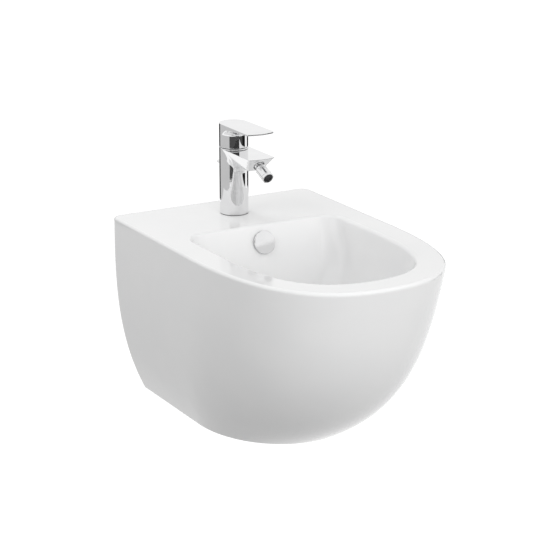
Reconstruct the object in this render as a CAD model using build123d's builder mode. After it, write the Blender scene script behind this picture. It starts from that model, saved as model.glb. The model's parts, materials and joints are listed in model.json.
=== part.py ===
from build123d import *
import os
from math import atan2, cos, degrees, radians, sin

# Wall-hung bidet, millimetres. The origin lies on the wall, midway between the two fixing holes,
# +X points to the right as seen from the front, the front is towards -Y and +Z is up.

# Ceramic body
width = 360
depth = 547
height = 300
rim_z = 80
wall = 10
deck = 14
web = 20
rear_corner = 16
rim_edge = 5
side_straight = 266
foot_width = 256.6
foot_depth = 345.4
foot_straight = 193.6
fixing_spacing = 180
sleeve_hole = 9
back_trim = 0.5
rib_offset = 70
rib_thickness = 10
window_width = 130
window_top = 40
window_foot = -300
window_corner = 20

# Bowl
bowl_rear = 166
bowl_front = 499
bowl_half_width = 133
bowl_depth = 158
bowl_straight = 300
bowl_corner = 30
bowl_floor = 20
bowl_edge = 6
waste_y = -275
waste_seat = 38
waste_hole = 23

# Overflow
overflow_drop = 27
overflow_hole = 11
channel_half = 17
channel_wall = 8
duct_depth = 15

# Mixer: heights are above the rim, reaches are forward of the column's axis
tap_y = -80
column = 23
column_top = 108
deck_hole = 17.5
handle_gap = 1.2
handle_top = 147
lever_reach = 93.5
lever_half = 24
lever_bow = 5.5
lever_corner = 4
spout_top = 107
spout_reach = 94
lever_pivot = 96
dome = 22.6

# Swivel nozzle: the ball's centre, and the slopes of its socket and of the nozzle below level
ball_reach = 77
ball_height = 95
ball = 7.5
socket_slope = 8
nozzle_slope = 24.1
nozzle_length = 37
nozzle = 9

# Pop-up waste: the lift rod stands behind the column's axis and works the pivot rod
rod = 2
rod_offset = 14.5
knob_offset = 19.5
knob_height = 73
rod_travel = 26
pivot_height = -214
pivot_arm = 33
pivot_rod = 2.5
pivot_ball = 6
knob = 3
knob_reach = 52
flange = 31.5
tube = 20
tube_foot = -203
tail = 16
tail_collar = 0.4
tail_lip = 3
tail_top = -238
tail_foot = -292
tail_nut_radius = 23
tail_nut_foot = -248
branch = 9.5
plug_radius = 20.5
plug_shut = -153.1

# Small parts of the tap
seal_height = 0.8
spout_under = 84
under_blend = 68
chin_reach = 71
chin_half = 12.5
inlet_offset = 8
inlet_bore = 5
inlet_depth = 12
shaft_width = 5
shaft_near = 12
shaft_step_near = 17.3
shaft_far = 21.7
shaft_step = 61
shaft_top = 102
slot_width = 4.4
slot_ends = 4.6
riser = 3
way_low = 60
way_high = 94
way_offset = 17.5
stud = 4
stud_offset = 11
stud_length = 60
stud_nut_width = 13
stud_nut_height = 6.5
horseshoe = 25
horseshoe_slot = 28
horseshoe_thickness = 3
cartridge = 12.5
cartridge_foot = 65
cartridge_floor = 82
port = 2.5
port_depth = 12
port_seal = 4
mixed_port = 7.5
carrier = 10.5
carrier_foot = 82.3
carrier_top = 101
carrier_floor = 86
pin = 1.5
pin_half = 9.5
spindle_width = 7
spindle_foot = 88
spindle_top = 128
nut_foot = 97
nut_height = 6.5
skirt_foot = 104
dome_skirt = 19.1
dome_hole = 12
dome_wall = 1.5
flare_foot = 128.5
flare = 11.5
lever_tip = 2.6
relief = 9
grub_height = 124
grub = 2.5
grub_near = 3.5
grub_length = 8
grub_cap = 3.5
grub_cap_length = 2.6
socket_bore = 8.95
socket_floor = 11.5
socket_lip = 3
neck = 5
ball_bore = 3.5
sleeve_start = 11
aerator_depth = 11
clamp_width = 14
clamp_depth = 12
clamp_half = 9.5
clamp_screw_lift = 7.5
knob_shank = 1.9

# Sleeves in the fixing holes, and the overflow's fittings
sleeve_bore = 6.5
sleeve_flange = 14
sleeve_flange_thickness = 3
overflow_bore = 8.5
cover_radius = 18.5
cover_gap = 3
cover_thickness = 2.5

# Planes: a side plane has reach forward and height above the rim as its two directions
wall_side = Plane(origin=(0, 0, rim_z), x_dir=(0, -1, 0), z_dir=(-1, 0, 0))
tap = Plane(origin=(0, tap_y, rim_z))
tap_side = Plane(origin=(0, tap_y, rim_z), x_dir=(0, -1, 0), z_dir=(-1, 0, 0))
tap_axis = Axis((0, tap_y, 0), (0, 0, 1))
waste = Plane(origin=(0, waste_y, rim_z))
waste_side = Plane(origin=(0, waste_y, rim_z), x_dir=(0, -1, 0), z_dir=(-1, 0, 0))
waste_axis = Axis((0, waste_y, 0), (0, 0, 1))

# The bowl's rear wall leans forward as it goes down, and the overflow sits square on it
rear_lean = 0.75 * (-waste_y - waste_seat - bowl_rear) / bowl_depth
overflow = Plane(
    origin=(0, -bowl_rear - rear_lean * overflow_drop, rim_z - overflow_drop),
    x_dir=(1, 0, 0),
    z_dir=(0, -1, rear_lean),
)

# The overflow's duct runs down behind that wall to the side of the waste hole
basin_depth = bowl_depth + bowl_floor
channel_rear = bowl_rear - wall - 25
duct_rear = channel_rear + channel_wall + 1
duct_front = duct_rear + duct_depth
duct_roof = bowl_depth + 7
duct_floor = basin_depth - 5

# The nozzle swivels about its ball, in a socket that slopes less than it does
ball_centre = Vector(0, tap_y - ball_reach, rim_z + ball_height)


def sloping(slope):
    return Vector(0, -cos(radians(slope)), -sin(radians(slope)))


socket = Plane(origin=ball_centre, x_dir=(1, 0, 0), z_dir=sloping(socket_slope))
socket_side = Plane(origin=ball_centre, x_dir=sloping(socket_slope), z_dir=(-1, 0, 0))
socket_axis = Axis(ball_centre, sloping(socket_slope))
nozzle_plane = Plane(origin=ball_centre, x_dir=(1, 0, 0), z_dir=sloping(nozzle_slope))
nozzle_side = Plane(origin=ball_centre, x_dir=sloping(nozzle_slope), z_dir=(-1, 0, 0))
nozzle_axis = Axis(ball_centre, sloping(nozzle_slope))

# The pivot rod's outer end hangs half the lift rod's travel below the ball
pivot_outer = -waste_y + tap_y + rod_offset - pivot_arm
pivot_drop = degrees(atan2(rod_travel / 2, pivot_outer))
clamp_height = pivot_height - rod_travel / 2
clamp_y = tap_y + rod_offset
clamp_screw_z = rim_z + clamp_height + clamp_screw_lift
pivot_centre = Vector(0, waste_y + pivot_arm, rim_z + pivot_height)
pivot_direction = Vector(0, cos(radians(pivot_drop)), -sin(radians(pivot_drop)))
pivot_plane = Plane(origin=pivot_centre, x_dir=(1, 0, 0), z_dir=pivot_direction)
pivot_side = Plane(origin=pivot_centre, x_dir=pivot_direction, z_dir=(-1, 0, 0))
pivot_axis = Axis(pivot_centre, pivot_direction)
eye_level = pivot_height + pivot_arm * sin(radians(pivot_drop))
plug_level = plug_shut + 2 * pivot_arm * sin(radians(pivot_drop))


def quarter(start, end, fullness, side_first):
    # A quarter round from start to end: fullness 0.55 is an ellipse, more is squarer.
    (x0, y0), (x1, y1) = start, end
    if side_first:
        handles = (x0, y0 + fullness * (y1 - y0)), (x1 - fullness * (x1 - x0), y1)
    else:
        handles = (x0 + fullness * (x1 - x0), y0), (x1, y1 - fullness * (y1 - y0))
    return Bezier(start, *handles, end)


def body_outline(fall, inset=0, back=0):
    # Outline of the ceramic, fall being the share of its height below the rim:
    # flat at the wall, straight at the sides and drawn in to a rounded front.
    half = width / 2 - (width - foot_width) / 2 * fall**2.95 - inset
    front = depth - (depth - foot_depth) * (0.396 * fall + 0.604 * fall**3.835) - inset
    straight = side_straight - (side_straight - foot_straight) * fall**1.5
    corner = rear_corner - 10 * fall
    fullness = 0.69 - 0.12 * fall
    with BuildSketch() as outline:
        with BuildLine():
            Line((corner - half, -back), (half - corner, -back))
            quarter((half - corner, -back), (half, -back - corner), 0.5523, False)
            Line((half, -back - corner), (half, -straight))
            quarter((half, -straight), (0, -front), fullness, True)
            quarter((0, -front), (-half, -straight), fullness, False)
            Line((-half, -straight), (-half, -back - corner))
            quarter((-half, -back - corner), (corner - half, -back), 0.5523, True)
        make_face()
    return outline.sketch


def bowl_outline(sink, grow=0):
    # Outline of the bowl, sink being the share of its depth: straight at the back, rounded
    # at the front and closing to the round seat of the waste.
    rear = bowl_rear + (-waste_y - waste_seat - bowl_rear) * (0.75 * sink + 0.25 * sink**6) - grow
    front = bowl_front - (bowl_front + waste_y - waste_seat) * sink**3 + grow
    half = bowl_half_width - (bowl_half_width - waste_seat) * sink**3.4 + grow
    straight = bowl_straight + (-waste_y + 1 - bowl_straight) * sink
    corner = bowl_corner + grow + (waste_seat - 1 - bowl_corner) * sink**0.7
    fullness = 0.69 - 0.138 * sink
    with BuildSketch() as outline:
        with BuildLine():
            Line((corner - half, -rear), (half - corner, -rear))
            quarter((half - corner, -rear), (half, -rear - corner), 0.5523, False)
            Line((half, -rear - corner), (half, -straight))
            quarter((half, -straight), (0, -front), fullness, True)
            quarter((0, -front), (-half, -straight), fullness, False)
            Line((-half, -straight), (-half, -rear - corner))
            quarter((-half, -rear - corner), (corner - half, -rear), 0.5523, True)
        make_face()
    return outline.sketch


def finish(piece, name):
    piece.part.label = name
    export_step(piece.part, f"parts/{name}.step")


os.makedirs("parts", exist_ok=True)

# Ceramic body, fired in one piece
falls = (0, 0.2, 0.4, 0.6, 0.75, 0.88, 1)
sinks = (0, 0.25, 0.5, 0.7, 0.86, 1)
skin_outlines = [body_outline(fall, 0, -back_trim) for fall in falls]
hollow_falls = (deck / height, *falls[1:])
hollow_outlines = [body_outline(fall, wall, web) for fall in hollow_falls]
bowl_outlines = [bowl_outline(sink) for sink in sinks]
basin_outlines = [bowl_outline(sink, wall) for sink in sinks]

# The hollow between the outer skin and the bowl, open at the bottom and at the wall
with BuildPart() as hollow:
    for fall, outline in zip(hollow_falls, hollow_outlines):
        with BuildSketch(Plane.XY.offset(rim_z - height * fall)):
            add(outline)
    loft()
    for sink, outline in zip(sinks, basin_outlines):
        with BuildSketch(Plane.XY.offset(rim_z - basin_depth * sink)):
            add(outline)
    loft(mode=Mode.SUBTRACT)
    # overflow channel's walls behind the bowl
    with BuildSketch(wall_side):
        with BuildLine():
            Polyline(
                (channel_rear, 0),
                (channel_rear + rear_lean * basin_depth, -basin_depth),
                (-waste_y, -basin_depth),
                (bowl_rear + 4, 0),
                close=True,
            )
        make_face()
    extrude(amount=channel_half + channel_wall, both=True, mode=Mode.SUBTRACT)
    # two ribs that tie the bowl to the wall flange
    with BuildSketch(wall_side.offset(rib_offset), wall_side.offset(-rib_offset)):
        with BuildLine():
            Polyline((web - 1, 0), (175, 0), (195, -110), (web - 1, -150), close=True)
        make_face()
    extrude(amount=rib_thickness / 2, both=True, mode=Mode.SUBTRACT)

with BuildPart() as ceramic_body:
    for fall, outline in zip(falls, skin_outlines):
        with BuildSketch(Plane.XY.offset(rim_z - height * fall)):
            add(outline)
    loft()
    fillet(ceramic_body.faces().sort_by(Axis.Z)[-1].outer_wire().edges(), rim_edge)
    # flat face at the wall
    with BuildSketch(Plane.XZ):
        Rectangle(2 * width, 4 * height)
    extrude(amount=-2, mode=Mode.SUBTRACT)
    add(hollow.part, mode=Mode.SUBTRACT)
    for sink, outline in zip(sinks, bowl_outlines):
        with BuildSketch(Plane.XY.offset(rim_z - bowl_depth * sink)):
            add(outline)
    loft(mode=Mode.SUBTRACT)
    fillet(ceramic_body.faces().sort_by(Axis.Z)[-1].inner_wires()[0].edges(), bowl_edge)
    # tap hole and waste hole
    with BuildSketch(tap):
        Circle(deck_hole)
    extrude(amount=-deck - 1, mode=Mode.SUBTRACT)
    with BuildSketch(waste.offset(-bowl_depth + 1)):
        Circle(waste_hole)
    extrude(amount=-bowl_floor - 2, mode=Mode.SUBTRACT)
    # overflow hole and the duct behind it
    with BuildSketch(overflow.offset(5)):
        Circle(overflow_hole)
    extrude(amount=-21, mode=Mode.SUBTRACT)
    with BuildSketch(wall_side):
        with BuildLine():
            Polyline(
                (duct_front + rear_lean * (deck + 2), -deck - 2),
                (duct_rear + rear_lean * (deck + 2), -deck - 2),
                (duct_rear + rear_lean * duct_floor, -duct_floor),
                (-waste_y - waste_hole + 1, -duct_floor),
                (-waste_y - waste_hole + 1, -duct_roof),
                (duct_front + rear_lean * duct_roof, -duct_roof),
                close=True,
            )
        make_face()
    extrude(amount=channel_half, both=True, mode=Mode.SUBTRACT)
    # fixing holes, and the window in the wall flange for the pipes
    with BuildSketch(Plane.XZ):
        with Locations((-fixing_spacing / 2, 0), (fixing_spacing / 2, 0)):
            Circle(sleeve_hole)
        with Locations((0, (window_top + window_foot) / 2)):
            RectangleRounded(window_width, window_top - window_foot, window_corner)
    extrude(amount=web + 1, mode=Mode.SUBTRACT)

finish(ceramic_body, "ceramic_body")

# Plastic sleeves in the fixing holes, with a flange behind the wall flange
with BuildPart() as fixing_sleeves:
    for side in (-1, 1):
        with BuildSketch(Plane.XZ):
            with Locations((side * fixing_spacing / 2, 0)):
                Circle(sleeve_hole - 0.1)
                Circle(sleeve_bore, mode=Mode.SUBTRACT)
        extrude(amount=web)
        with BuildSketch(Plane.XZ.offset(web)):
            with Locations((side * fixing_spacing / 2, 0)):
                Circle(sleeve_flange)
                Circle(sleeve_bore, mode=Mode.SUBTRACT)
        extrude(amount=sleeve_flange_thickness)
finish(fixing_sleeves, "fixing_sleeves")

# Overflow: a chrome cover that stands off the bowl's sloping rear wall on a stem
with BuildPart() as overflow_grommet:
    with BuildSketch(overflow.offset(-9)):
        Circle(overflow_hole - 0.1)
        Circle(overflow_bore, mode=Mode.SUBTRACT)
    extrude(amount=8)
finish(overflow_grommet, "overflow_grommet")

with BuildPart() as overflow_cover:
    with BuildSketch(overflow.offset(cover_gap)):
        Circle(cover_radius)
    extrude(amount=cover_thickness)
    fillet(overflow_cover.edges().filter_by(GeomType.CIRCLE).sort_by(Axis.Y)[0], 0.8)
    with BuildSketch(overflow.offset(-11)):
        Circle(overflow_bore - 1)
        Circle(overflow_bore - 2.5, mode=Mode.SUBTRACT)
        Rectangle(2 * overflow_bore, 5, mode=Mode.SUBTRACT)
        Rectangle(5, 2 * overflow_bore, mode=Mode.SUBTRACT)
    extrude(amount=11 + cover_gap)
finish(overflow_cover, "overflow_cover")

# Mixer body: a round column whose spout is cut to a V and blends into the column from below
with BuildPart() as spout_form:
    with BuildSketch(tap_side):
        with BuildLine():
            Polyline(
                (0, spout_top),
                (spout_reach - 1, spout_top),
                (spout_reach - 1, spout_top - 1.5),
                (chin_reach, spout_under),
                (0, spout_under),
                close=True,
            )
        make_face()
    extrude(amount=column, both=True)
    with BuildSketch(tap_side):
        with BuildLine():
            edge = Line((0, spout_top), (0, under_blend - 1))
            Line(edge @ 1, (column, under_blend - 1))
            Line((column, under_blend - 1), (column, under_blend))
            RadiusArc(
                (column, under_blend),
                (column + spout_under - under_blend, spout_under),
                spout_under - under_blend,
            )
            Line((column + spout_under - under_blend, spout_under), (column + 16, spout_top))
            Line((column + 16, spout_top), (0, spout_top))
        make_face()
    revolve(axis=tap_axis)
    with BuildSketch(Plane(origin=(0, tap_y, rim_z), x_dir=(1, 0, 0), z_dir=(0, -1, 0))):
        with BuildLine():
            Polyline(
                (-column, spout_top),
                (column, spout_top),
                (chin_half, spout_under),
                (chin_half - 6, under_blend - 2),
                (-chin_half + 6, under_blend - 2),
                (-chin_half, spout_under),
                close=True,
            )
        make_face()
    extrude(amount=spout_reach, mode=Mode.INTERSECT)
    # bowed front edge
    with BuildSketch(tap.offset(spout_top)):
        with BuildLine():
            Line((-column, 0), (column, 0))
            Line((column, 0), (column, -spout_reach + 3))
            ThreePointArc((column, -spout_reach + 3), (0, -spout_reach), (-column, -spout_reach + 3))
            Line((-column, -spout_reach + 3), (-column, 0))
        make_face()
    extrude(amount=-60, mode=Mode.INTERSECT)

with BuildPart() as mixer_body:
    with BuildSketch(tap.offset(seal_height)):
        Circle(column)
    extrude(amount=column_top - seal_height)
    # shaft for the cranked lift rod, and the slot that its knob rides in
    for near, low, high in (
        (shaft_near, seal_height, shaft_step + 1),
        (shaft_step_near, shaft_step, shaft_top),
    ):
        with BuildSketch(tap.offset(low)):
            with Locations((0, (near + shaft_far) / 2)):
                Rectangle(shaft_width, shaft_far - near)
        extrude(amount=high - low, mode=Mode.SUBTRACT)
    with BuildSketch(Plane(origin=(0, tap_y + shaft_far - 1, rim_z), x_dir=(1, 0, 0), z_dir=(0, 1, 0))):
        with Locations((0, -(knob_height + rod_travel / 2))):
            Rectangle(slot_width, rod_travel + slot_ends)
    extrude(amount=5, mode=Mode.SUBTRACT)
    add(spout_form.part)
    # stepped bore for the cartridge, its nut and the dome's skirt
    for radius, low, high in (
        (cartridge + 0.3, cartridge_foot - 0.8, column_top),
        (cartridge + 4, nut_foot, column_top),
        (dome_skirt + 0.1, skirt_foot, column_top),
    ):
        with BuildSketch(tap.offset(low)):
            Circle(radius)
        extrude(amount=high - low, mode=Mode.SUBTRACT)
    # water ways: two risers from the inlets and the mixed water's way to the nozzle
    with BuildSketch(tap.offset(seal_height)):
        with Locations((-inlet_offset, 1), (inlet_offset, 1)):
            Circle(inlet_bore)
        with Locations((0, -stud_offset)):
            Circle(stud + 0.05)
    extrude(amount=inlet_depth, mode=Mode.SUBTRACT)
    with BuildSketch(tap.offset(inlet_depth)):
        with Locations((-inlet_offset, 1), (inlet_offset, 1)):
            Circle(riser)
    extrude(amount=cartridge_foot - inlet_depth, mode=Mode.SUBTRACT)
    with BuildSketch(tap.offset(way_low - 1)):
        Circle(3.2)
    extrude(amount=cartridge_foot - way_low + 1, mode=Mode.SUBTRACT)
    with BuildSketch(Plane(origin=(0, tap_y, rim_z + way_low), z_dir=(0, -1, 0))):
        Circle(2.8)
    extrude(amount=way_offset, mode=Mode.SUBTRACT)
    with BuildSketch(tap.offset(way_low - 3.5)):
        with Locations((0, -way_offset)):
            Circle(2.6)
    extrude(amount=way_high + 1 - way_low + 3.5, mode=Mode.SUBTRACT)
    with BuildSketch(Plane(origin=(0, tap_y - way_offset, rim_z + way_high), z_dir=(0, -1, 0))):
        Circle(2.3)
    extrude(amount=ball_reach - way_offset, mode=Mode.SUBTRACT)
    # socket bore of the swivel nozzle
    with BuildSketch(socket.offset(-socket_floor)):
        Circle(socket_bore)
    extrude(amount=30, mode=Mode.SUBTRACT)
finish(mixer_body, "mixer_body")

# Sealing ring under the column
with BuildPart() as base_seal:
    with BuildSketch(tap):
        Circle(column - 0.5)
        Circle(column - 2.5, mode=Mode.SUBTRACT)
    extrude(amount=seal_height)
finish(base_seal, "base_seal")

# Fixing under the deck: stud, horseshoe gasket and washer, nut
with BuildPart() as fixing_stud:
    with BuildSketch(tap.offset(-stud_length)):
        with Locations((0, -stud_offset)):
            Circle(stud)
    extrude(amount=stud_length + inlet_depth)
finish(fixing_stud, "fixing_stud")

horseshoe_level = -deck
for name in ("deck_gasket", "deck_washer"):
    with BuildPart() as clamp_plate:
        with BuildSketch(tap.offset(horseshoe_level)):
            Circle(horseshoe)
            with Locations((0, horseshoe - stud)):
                Rectangle(horseshoe_slot, 2 * horseshoe, mode=Mode.SUBTRACT)
            with Locations((0, -stud_offset)):
                Circle(stud + 0.2, mode=Mode.SUBTRACT)
        extrude(amount=-horseshoe_thickness)
    horseshoe_level -= horseshoe_thickness
    finish(clamp_plate, name)

with BuildPart() as stud_nut:
    with BuildSketch(tap.offset(horseshoe_level)):
        with Locations((0, -stud_offset)):
            RegularPolygon(stud_nut_width / 2, 6, major_radius=False)
            Circle(stud + 0.05, mode=Mode.SUBTRACT)
    extrude(amount=-stud_nut_height)
finish(stud_nut, "stud_nut")

# Cartridge: seals, body, carrier that turns, spindle that tilts on its pin, nut and dome
with BuildPart() as cartridge_seals:
    with BuildSketch(tap.offset(cartridge_foot - 0.8)):
        with Locations((-inlet_offset, 1), (inlet_offset, 1), (0, -mixed_port)):
            Circle(port_seal)
            Circle(riser, mode=Mode.SUBTRACT)
    extrude(amount=0.8)
finish(cartridge_seals, "cartridge_seals")

with BuildPart() as cartridge_body:
    with BuildSketch(tap.offset(cartridge_foot)):
        Circle(cartridge)
    extrude(amount=nut_foot - cartridge_foot)
    with BuildSketch(tap.offset(cartridge_floor)):
        Circle(carrier + 0.1)
    extrude(amount=30, mode=Mode.SUBTRACT)
    with BuildSketch(tap.offset(cartridge_foot)):
        with Locations((-inlet_offset, 1), (inlet_offset, 1), (0, -mixed_port)):
            Circle(port)
    extrude(amount=port_depth, mode=Mode.SUBTRACT)
finish(cartridge_body, "cartridge_body")

with BuildPart() as cartridge_carrier:
    with BuildSketch(tap.offset(carrier_foot)):
        Circle(carrier)
    extrude(amount=carrier_top - carrier_foot)
    with BuildSketch(tap.offset(carrier_floor)):
        Rectangle(spindle_width + 0.4, 2 * spindle_width + 1.4)
    extrude(amount=20, mode=Mode.SUBTRACT)
    with BuildSketch(tap_side):
        with Locations((0, lever_pivot)):
            Circle(pin)
    extrude(amount=cartridge, both=True, mode=Mode.SUBTRACT)
finish(cartridge_carrier, "cartridge_carrier")

with BuildPart() as spindle_pin:
    with BuildSketch(tap_side):
        with Locations((0, lever_pivot)):
            Circle(pin)
    extrude(amount=pin_half, both=True)
finish(spindle_pin, "spindle_pin")

with BuildPart() as spindle:
    with BuildSketch(tap.offset(spindle_foot)):
        Rectangle(spindle_width, spindle_width)
    extrude(amount=spindle_top - spindle_foot)
    with BuildSketch(tap_side):
        with Locations((0, lever_pivot)):
            Circle(pin + 0.05)
    extrude(amount=spindle_width, both=True, mode=Mode.SUBTRACT)
finish(spindle, "spindle")

with BuildPart() as cartridge_nut:
    with BuildSketch(tap.offset(nut_foot)):
        Circle(cartridge + 3.9)
        Circle(carrier + 0.4, mode=Mode.SUBTRACT)
    extrude(amount=nut_height)
    with BuildSketch(tap.offset(nut_foot + 3)):
        with PolarLocations(cartridge + 3.9, 6):
            Rectangle(4, 3)
    extrude(amount=5, mode=Mode.SUBTRACT)
finish(cartridge_nut, "cartridge_nut")

with BuildPart() as cartridge_dome:
    with BuildSketch(tap_side):
        with Locations((0, lever_pivot)):
            Circle(dome)
            Circle(dome - dome_wall, mode=Mode.SUBTRACT)
        with Locations(((dome_hole + 40) / 2, column_top + 20)):
            Rectangle(40 - dome_hole, 40, mode=Mode.INTERSECT)
        with Locations((dome_skirt - dome_wall / 2, (skirt_foot + column_top) / 2)):
            Rectangle(dome_wall, column_top - skirt_foot)
    revolve(axis=tap_axis)
finish(cartridge_dome, "cartridge_dome")

# Handle: a cap that flares into a flat lever, hollow over the dome and relieved at the back
with BuildPart() as handle:
    with BuildSketch(tap_side):
        with BuildLine():
            Line((0, handle_top), (0, column_top + handle_gap))
            Line((0, column_top + handle_gap), (column, column_top + handle_gap))
            Line((column, column_top + handle_gap), (column, flare_foot))
            RadiusArc((column, flare_foot), (column + flare, flare_foot + flare), flare)
            Line((column + flare, flare_foot + flare), (column + flare, handle_top))
            Line((column + flare, handle_top), (0, handle_top))
        make_face()
    revolve(axis=tap_axis)
    with BuildSketch(tap_side):
        with BuildLine():
            Line((0, flare_foot + flare), (0, handle_top))
            Line((0, handle_top), (lever_reach + 2, handle_top))
            Line((lever_reach + 2, handle_top), (lever_reach + 2, handle_top - lever_tip))
            ThreePointArc(
                (lever_reach + 2, handle_top - lever_tip),
                ((lever_reach + column + flare) / 2, handle_top - lever_tip - 1),
                (column + flare, flare_foot + flare),
            )
            Line((column + flare, flare_foot + flare), (0, flare_foot + flare))
        make_face()
    extrude(amount=30, both=True)
    with BuildSketch(tap.offset(handle_top)):
        with BuildLine():
            left, right = (-lever_half, lever_bow - lever_reach), (lever_half, lever_bow - lever_reach)
            Line((-column, 0), left)
            ThreePointArc(left, (0, -lever_reach), right)
            Line(right, (column, 0))
            ThreePointArc((column, 0), (0, column), (-column, 0))
        make_face()
        fillet(vertices().group_by(Axis.Y)[0], lever_corner)
    extrude(amount=-60, mode=Mode.INTERSECT)
    fillet(handle.faces().sort_by(Axis.Z)[-1].edges(), 0.6)
    with BuildSketch(tap_side):
        with Locations((0, lever_pivot)):
            Circle(dome + 0.6)
        with Locations((-25, lever_pivot)):
            Rectangle(50, 80, mode=Mode.SUBTRACT)
    revolve(axis=tap_axis, mode=Mode.SUBTRACT)
    with BuildSketch(tap_side.offset(-30)):
        with BuildLine():
            Polyline(
                (0, column_top),
                (0, column_top + handle_gap),
                (-column - 2, column_top + handle_gap + relief),
                (-column - 2, column_top),
                close=True,
            )
        make_face()
    extrude(amount=60, mode=Mode.SUBTRACT)
    with BuildSketch(tap.offset(column_top + 2)):
        Rectangle(spindle_width + 0.1, spindle_width + 0.1)
    extrude(amount=spindle_top + 0.2 - column_top - 2, mode=Mode.SUBTRACT)
    with BuildSketch(Plane(origin=(0, tap_y + grub_near, rim_z + grub_height), z_dir=(0, 1, 0))):
        Circle(grub)
    extrude(amount=column, mode=Mode.SUBTRACT)
    with BuildSketch(Plane(origin=(0, tap_y + column - 3, rim_z + grub_height), z_dir=(0, 1, 0))):
        Circle(grub_cap)
    extrude(amount=5, mode=Mode.SUBTRACT)
finish(handle, "handle")

with BuildPart() as grub_screw:
    with BuildSketch(Plane(origin=(0, tap_y + grub_near + 0.05, rim_z + grub_height), z_dir=(0, 1, 0))):
        Circle(grub - 0.05)
    extrude(amount=grub_length)
    # hexagon socket
    with BuildSketch(grub_screw.faces().sort_by(Axis.Y)[-1]):
        RegularPolygon(grub / 2, 6)
    extrude(amount=-3, mode=Mode.SUBTRACT)
finish(grub_screw, "grub_screw")

with BuildPart() as screw_cap:
    with BuildSketch(Plane(origin=(0, tap_y + column - 3, rim_z + grub_height), z_dir=(0, 1, 0))):
        Circle(grub_cap - 0.05)
    extrude(amount=grub_cap_length)
finish(screw_cap, "screw_cap")

# Swivel nozzle: socket ring with a lip that keeps the ball in, seat ring, ball, sleeve, aerator
with BuildPart() as swivel_socket:
    with BuildSketch(socket_side):
        with BuildLine():
            Polyline(
                (-7.9, ball + 0.3),
                (0.8, ball + 0.3),
                (socket_lip, ball - 0.3),
                (socket_lip, socket_bore - 0.05),
                (-7.9, socket_bore - 0.05),
                close=True,
            )
        make_face()
    revolve(axis=socket_axis)
finish(swivel_socket, "swivel_socket")

with BuildPart() as seat_ring:
    with BuildSketch(socket.offset(0.3 - socket_floor)):
        Circle(socket_bore - 0.05)
        Circle(neck, mode=Mode.SUBTRACT)
    extrude(amount=3.2)
finish(seat_ring, "seat_ring")

with BuildPart() as swivel_ball:
    with BuildSketch(nozzle_side):
        Circle(ball)
        with Locations((sleeve_start / 2 + 2, 0)):
            Rectangle(sleeve_start + 4, 2 * neck)
        with Locations((0, -20)):
            Rectangle(60, 40, mode=Mode.SUBTRACT)
        with Locations((0, 0)):
            Rectangle(60, 2 * ball_bore, mode=Mode.SUBTRACT)
    revolve(axis=nozzle_axis)
finish(swivel_ball, "swivel_ball")

with BuildPart() as nozzle_sleeve:
    with BuildSketch(nozzle_side):
        with BuildLine():
            Polyline(
                (sleeve_start, neck + 0.05),
                (sleeve_start, nozzle - 0.6),
                (sleeve_start + 0.6, nozzle),
                (nozzle_length - 0.4, nozzle),
                (nozzle_length, nozzle - 0.4),
                (nozzle_length, nozzle - 1.4),
                (nozzle_length - aerator_depth, nozzle - 1.4),
                (nozzle_length - aerator_depth, neck + 1),
                (sleeve_start + 4, neck + 1),
                (sleeve_start + 4, neck + 0.05),
                close=True,
            )
        make_face()
    revolve(axis=nozzle_axis)
finish(nozzle_sleeve, "nozzle_sleeve")

with BuildPart() as aerator_insert:
    with BuildSketch(nozzle_plane.offset(nozzle_length - aerator_depth + 0.1)):
        Circle(nozzle - 1.45)
    extrude(amount=10.1)
    with BuildSketch(nozzle_plane.offset(nozzle_length - 1.6)):
        Circle(5.6)
    extrude(amount=2, mode=Mode.SUBTRACT)
    with BuildSketch(nozzle_plane.offset(nozzle_length - 12)):
        with Locations((0, 0)):
            Circle(1)
        with PolarLocations(2.9, 6):
            Circle(0.9)
    extrude(amount=14, mode=Mode.SUBTRACT)
finish(aerator_insert, "aerator_insert")

# Lift rod with its knob, cranked inside the column to pass through the deck hole
with BuildPart() as lift_rod:
    with BuildLine(wall_side) as rod_line:
        FilletPolyline(
            (-tap_y - rod_offset, clamp_height + 4.2),
            (-tap_y - rod_offset, 24),
            (-tap_y - knob_offset, 31),
            (-tap_y - knob_offset, knob_height + 2),
            radius=5,
        )
    with BuildSketch(Plane(origin=rod_line.line @ 0, z_dir=rod_line.line % 0)):
        Circle(rod)
    sweep()
finish(lift_rod, "lift_rod")

with BuildPart() as lift_knob:
    with BuildSketch(Plane(origin=(0, tap_y + knob_offset + rod, rim_z + knob_height), z_dir=(0, 1, 0))):
        Circle(knob_shank)
    extrude(amount=column + 1 - knob_offset)
    with BuildSketch(Plane(origin=(0, tap_y + column + 1, rim_z + knob_height), z_dir=(0, 1, 0))):
        Circle(knob)
    extrude(amount=knob_reach - column - 1)
    fillet(lift_knob.edges().sort_by(Axis.Y)[-1], 1)
finish(lift_knob, "lift_knob")

with BuildPart() as rod_clamp:
    with BuildSketch(Plane((0, clamp_y, rim_z + clamp_height + 1))):
        Rectangle(clamp_width, clamp_depth)
    extrude(amount=clamp_half, both=True)
    with BuildSketch(Plane((0, clamp_y, rim_z + clamp_height + 3.8))):
        Circle(rod + 0.03)
    extrude(amount=20, mode=Mode.SUBTRACT)
    with BuildSketch(Plane.XZ.offset(-tap_y - rod_offset)):
        with Locations((0, rim_z + clamp_height)):
            Circle(pivot_rod + 1)
    extrude(amount=12, both=True, mode=Mode.SUBTRACT)
    with BuildSketch(Plane((clamp_width / 2, clamp_y, clamp_screw_z), z_dir=(1, 0, 0))):
        Circle(1.6)
    extrude(amount=-5.2, mode=Mode.SUBTRACT)
finish(rod_clamp, "rod_clamp")

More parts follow.
